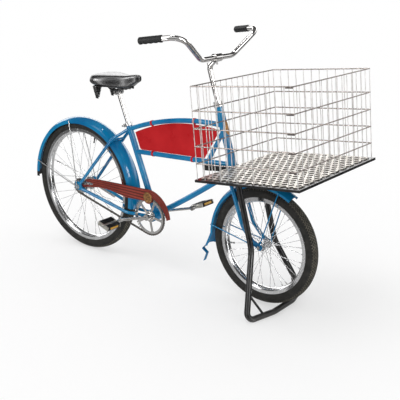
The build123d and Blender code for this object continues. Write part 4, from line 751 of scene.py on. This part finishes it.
def balloon_tyre(radius, blocks):
    """Ring on two parameters: the turn round the axle, and the way round the section. The section is a circle whose
    radius drops between the tread blocks and rises at the side ribs, closed by a flat band inside the rim."""
    turn = np.linspace(0, 2 * np.pi, blocks * 6, endpoint=False)[:, None]
    wall = np.linspace(bead_lean, tread_lean, 14, endpoint=False)
    crest = np.linspace(-tread_lean, tread_lean, tread_rows * 6 + 1)
    lean = np.concatenate((-wall, crest, wall[::-1]))
    row = (lean + tread_lean) / (2 * tread_lean) * tread_rows
    row_share = row - np.floor(row)
    block = turn * blocks / (2 * np.pi) + 0.5 * (np.floor(row) % 2)
    block_share = np.round((block - np.floor(block)) * 6) / 6 % 1
    across = np.clip(np.minimum(row_share, 1 - row_share) * 6, 0, 1)
    forward = np.clip(np.minimum(block_share, 1 - block_share) * 6, 0, 1)
    stands = np.where(np.abs(lean) < tread_lean, across * forward, 1.0)
    on_rib = np.isin(np.arange(len(lean)), (5, 10, len(lean) - 6, len(lean) - 11))
    reach = section - tread_depth * (1 - stands) + np.where(on_rib, rib_height, 0.0)
    lean = np.radians(lean)
    band = (len(turn), len(band_out))
    out = np.concatenate((reach * np.cos(lean), np.broadcast_to(band_out, band)), axis=1)
    side = np.concatenate((reach * np.sin(lean), np.broadcast_to(band_side, band)), axis=1)
    stands = np.concatenate((stands, np.ones(band)), axis=1)
    return turn, radius - section + out, side, stands


def tyre_piece(wheel, axle, radius, blocks):
    """Tyre round an axle, with how far each point stands out of the tread kept as an attribute."""
    turn, reach, side, stands = balloon_tyre(radius, blocks)
    points = stacked(axle[0] + reach * np.cos(turn), side, axle[1] + reach * np.sin(turn))
    piece = skin(f"{wheel}_tyre_tread", points, wheel, tyre_rubber, along=True, crease=50.0)
    layer = piece.data.attributes.new("tread", "FLOAT", "POINT")
    layer.data.foreach_set("value", stands.ravel())
    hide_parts(wheel.replace("wheel", "tyre"))


tyre_piece("rear_wheel", rear_axle, rear_radius, rear_blocks)
tyre_piece("front_wheel", front_axle, front_radius, front_blocks)

# The rims are rolled steel, chromed, and laced with crossed spokes of drawn wire to turned steel hubs. A plated nipple
# holds each spoke at the rim, and a rubber valve stem comes through it.
rim_chrome = plated("rim_chrome", (0.92, 0.92, 0.93, 1), (0.76, 0.76, 0.76, 1), 0.12, 0.3)
paint(rim_chrome, "rear_rim", "front_rim")
spoke_wire = plated("spoke_wire", (0.78, 0.78, 0.79, 1), (0.52, 0.52, 0.52, 1), 0.18, 0.6)
paint(spoke_wire, "rear_spokes", "front_spokes", "rear_hub", "front_hub")
rim_well = 67.1
rim_side = 4.0
spokes_per_flange = 18
spoke_cross = 60.0
hole_inset = 3.0
outer_spoke, inner_spoke = 3.3, -2.6
valve_root = 67.0


def spoke_nipples(axle, radius, flange_radius, flange_y):
    """Small turned sleeves round the outer ends of the spokes: a profile of radii carried along each spoke's line."""
    hole_step = 360.0 / spokes_per_flange
    pair = np.arange(spokes_per_flange // 2)
    side = np.repeat((-1.0, 1.0), 2 * len(pair))
    lead = np.tile((0.0, 1.0), len(pair) * 2)
    offset = np.where(side > 0, 0, hole_step / 2) + lead * hole_step
    start_angle = 2 * hole_step * np.tile(np.repeat(pair, 2), 2) + offset
    end_angle = start_angle + np.where(lead == 0, spoke_cross, -spoke_cross)
    hub_y = side * (flange_y + np.where(lead == 0, outer_spoke, inner_spoke))
    start_turn, end_turn = np.radians(start_angle), np.radians(end_angle)
    hole = flange_radius - hole_inset
    rim = radius - rim_well
    start = stacked(axle[0] + hole * np.cos(start_turn), hub_y, axle[1] + hole * np.sin(start_turn))
    end = stacked(axle[0] + rim * np.cos(end_turn), side * rim_side, axle[1] + rim * np.sin(end_turn))
    aim = (start - end) / np.linalg.norm(start - end, axis=1, keepdims=True)
    first = np.cross(aim, (0.0, 1.0, 0.0))
    first /= np.linalg.norm(first, axis=1, keepdims=True)
    second = np.cross(aim, first)
    reach = np.array((0.4, 0.4, 2.0, 11.0, 12.0, 12.0))[None, :, None, None]
    wide = np.array((0.0, 2.6, 2.2, 1.9, 1.5, 0.0))[None, :, None, None]
    ring = np.linspace(0, 2 * np.pi, 6, endpoint=False)[None, None, :, None]
    across = first[:, None, None] * np.cos(ring) + second[:, None, None] * np.sin(ring)
    return end[:, None, None] + aim[:, None, None] * reach + across * wide


def valve_stem(axle, radius, angle):
    """Turned stem on a line from the rim toward the axle: a rubber root, a threaded neck and a cap."""
    depth = np.array((0.2, 0.2, 3.0, 14.0, 16.0, 17.0, 24.0, 25.0, 31.0, 32.0, 32.0))[:, None]
    wide = np.array((0.0, 5.2, 4.2, 3.6, 3.4, 2.8, 2.8, 3.6, 3.6, 2.9, 0.0))[:, None]
    ring = np.linspace(0, 2 * np.pi, 16, endpoint=False)
    reach = radius - valve_root - depth
    turn = np.radians(angle)
    out = wide * np.cos(ring)
    return stacked(
        axle[0] + reach * np.cos(turn) - out * np.sin(turn),
        wide * np.sin(ring),
        axle[1] + reach * np.sin(turn) + out * np.cos(turn),
    )


rear_nipples = spoke_nipples(rear_axle, rear_radius, 33.0, 27.0)
front_nipples = spoke_nipples(front_axle, front_radius, 20.5, 24.0)
rear_valve = valve_stem(rear_axle, rear_radius, 73.5)
front_valve = valve_stem(front_axle, front_radius, 190.0)
skin("rear_nipples", rear_nipples, "rear_wheel", zinc_steel, crease=50.0)
skin("front_nipples", front_nipples, "front_wheel", zinc_steel, crease=50.0)
skin("rear_valve", rear_valve, "rear_wheel", grip_rubber, crease=50.0)
skin("front_valve", front_valve, "front_wheel", grip_rubber, crease=50.0)

# The crank is forged in one piece with both arms and chromed. The chainring is stamped from plate with windows, chromed
# too, and turns with it.
paint(bright_chrome, "crank", "chainring")

# The pedals have a worn steel cage, two grooved rubber blocks and an amber reflector at each end.
# The reflectors are moulded plastic with small square prisms.
worn_steel = plated("worn_steel", (0.66, 0.64, 0.58, 1), (0.36, 0.33, 0.28, 1), 0.34, 1.0)
paint(worn_steel, "pedal_right_cage", "pedal_left_cage")
paint(grip_rubber, "pedal_right_blocks", "pedal_left_blocks")
amber_edge = (0.55, 0.25, 0.004, 1)
amber_face = (0.88, 0.50, 0.020, 1)
amber, amber_shader, amber_place = new_finish("amber_lens")
prism_cells = {"Vector": amber_place, "Scale": 380.0, "Randomness": 0.0}
prisms = amber_place.node("TexVoronoi", {"feature": "DISTANCE_TO_EDGE"}, prism_cells)
amber_depth = step(prisms, 0.0, 0.4)
amber_place.feed(amber_shader, {
    "Base Color": tint(amber_depth, amber_edge, amber_face),
    "Roughness": 0.16 + amber_depth * 0.1,
    "Coat Weight": 0.8,
    "Normal": raised(amber_depth, 0.5, 0.0008),
})
paint(amber, "pedal_right_reflectors", "pedal_left_reflectors")

# The chain is a roller chain of waisted side plates on pins, inner and outer links in turn, dark with old oil.
# It runs round the chainring and the rear sprocket behind the guard.
clean_steel = (0.26, 0.24, 0.22, 1)
old_oil = (0.035, 0.030, 0.026, 1)
chain_y = -43.0
links = 106
ring_radius = 89.02
cog_radius = 36.57
ring_middle = np.array((466.0, 271.0))
cog_middle = np.array(rear_axle)
inner_plate, outer_plate, plate_thick = 2.30, 2.95, 0.6
oily_steel, oily_shader, oily_place = new_finish("oily_steel")
oil = step(cloud(oily_place, 240.0, 4.0), 0.35, 0.7)
oily_place.feed(oily_shader, {
    "Base Color": tint(oil, clean_steel, old_oil),
    "Metallic": 0.85,
    "Roughness": 0.32 + oil * 0.25,
    "Normal": raised(oil, 0.2, 0.0003),
})


def chain_pins():
    """Points spaced evenly along the belt line round both pitch circles, starting at the top of the cog."""
    span = np.linalg.norm(ring_middle - cog_middle)
    slope = np.arctan2(*(ring_middle - cog_middle)[::-1])
    wrap = np.arcsin((ring_radius - cog_radius) / span)
    straight = span * np.cos(wrap)
    high = slope + np.pi / 2 + wrap
    low = slope - np.pi / 2 - wrap
    ring_arc = ring_radius * (np.pi + 2 * wrap)
    cog_arc = cog_radius * (np.pi - 2 * wrap)
    length = 2 * straight + ring_arc + cog_arc
    way = (np.arange(links) / links * length)[:, None]
    high_out = np.array((np.cos(high), np.sin(high)))
    low_out = np.array((np.cos(low), np.sin(low)))
    high_start = cog_middle + cog_radius * high_out
    high_end = ring_middle + ring_radius * high_out
    low_start = ring_middle + ring_radius * low_out
    low_end = cog_middle + cog_radius * low_out
    on_ring = high - (way - straight) / ring_radius
    on_cog = low - (way - 2 * straight - ring_arc) / cog_radius
    first_run = high_start + (high_end - high_start) * way / straight
    second_run = low_start + (low_end - low_start) * (way - straight - ring_arc) / straight
    round_ring = ring_middle + ring_radius * np.concatenate((np.cos(on_ring), np.sin(on_ring)), axis=1)
    round_cog = cog_middle + cog_radius * np.concatenate((np.cos(on_cog), np.sin(on_cog)), axis=1)
    return np.select(
        (way < straight, way < straight + ring_arc, way < 2 * straight + ring_arc),
        (first_run, round_ring, second_run),
        round_cog,
    )


def side_plates(pins):
    """Flat plates with round ends and a waist, one each side of every link: an outline round the link's middle,
    carried through the plate's thickness and closed at the middle of both faces."""
    ahead = np.roll(pins, -1, axis=0)
    centre = (pins + ahead) / 2
    aim = (ahead - pins) / np.linalg.norm(ahead - pins, axis=1, keepdims=True)
    length = np.array((10.4, 9.2, 6.3, 0.0, -6.3, -9.2, -10.4, -9.2, -6.3, 0.0, 6.3, 9.2))
    height = np.array((0.0, 3.0, 4.2, 2.9, 4.2, 3.0, 0.0, -3.0, -4.2, -2.9, -4.2, -3.0))
    layer = np.array(((0.0, 0.0), (1.0, 0.0), (1.0, 1.0), (0.0, 1.0)))
    run = layer[:, :1] * length
    rise = layer[:, :1] * height
    x = centre[:, :1, None] + aim[:, :1, None] * run - aim[:, 1:, None] * rise
    z = centre[:, 1:, None] + aim[:, 1:, None] * run + aim[:, :1, None] * rise
    gap = np.where(np.arange(links) % 2 == 0, inner_plate, outer_plate)[:, None, None]
    out = gap + layer[:, 1:] * plate_thick
    return np.concatenate((stacked(x, chain_y - out, z), stacked(x, chain_y + out, z)))


def rollers(pins):
    """Turned rollers on the pins, with the pins' heads standing a little out of the side plates."""
    across = np.array((-3.75, -3.75, -2.25, -2.25, 2.25, 2.25, 3.75, 3.75))[:, None]
    wide = np.array((0.0, 1.8, 1.8, 3.7, 3.7, 1.8, 1.8, 0.0))[:, None]
    ring = np.linspace(0, 2 * np.pi, 8, endpoint=False)
    x = pins[:, :1, None] + wide * np.cos(ring)
    z = pins[:, 1:, None] + wide * np.sin(ring)
    return stacked(x, chain_y + across, z)


pins = chain_pins()
chain_plates = skin("chain_plates", side_plates(pins), "frame", oily_steel, crease=30.0)
chain_rollers = skin("chain_rollers", rollers(pins), "frame", oily_steel, crease=40.0)
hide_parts("chain")
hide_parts("chain")
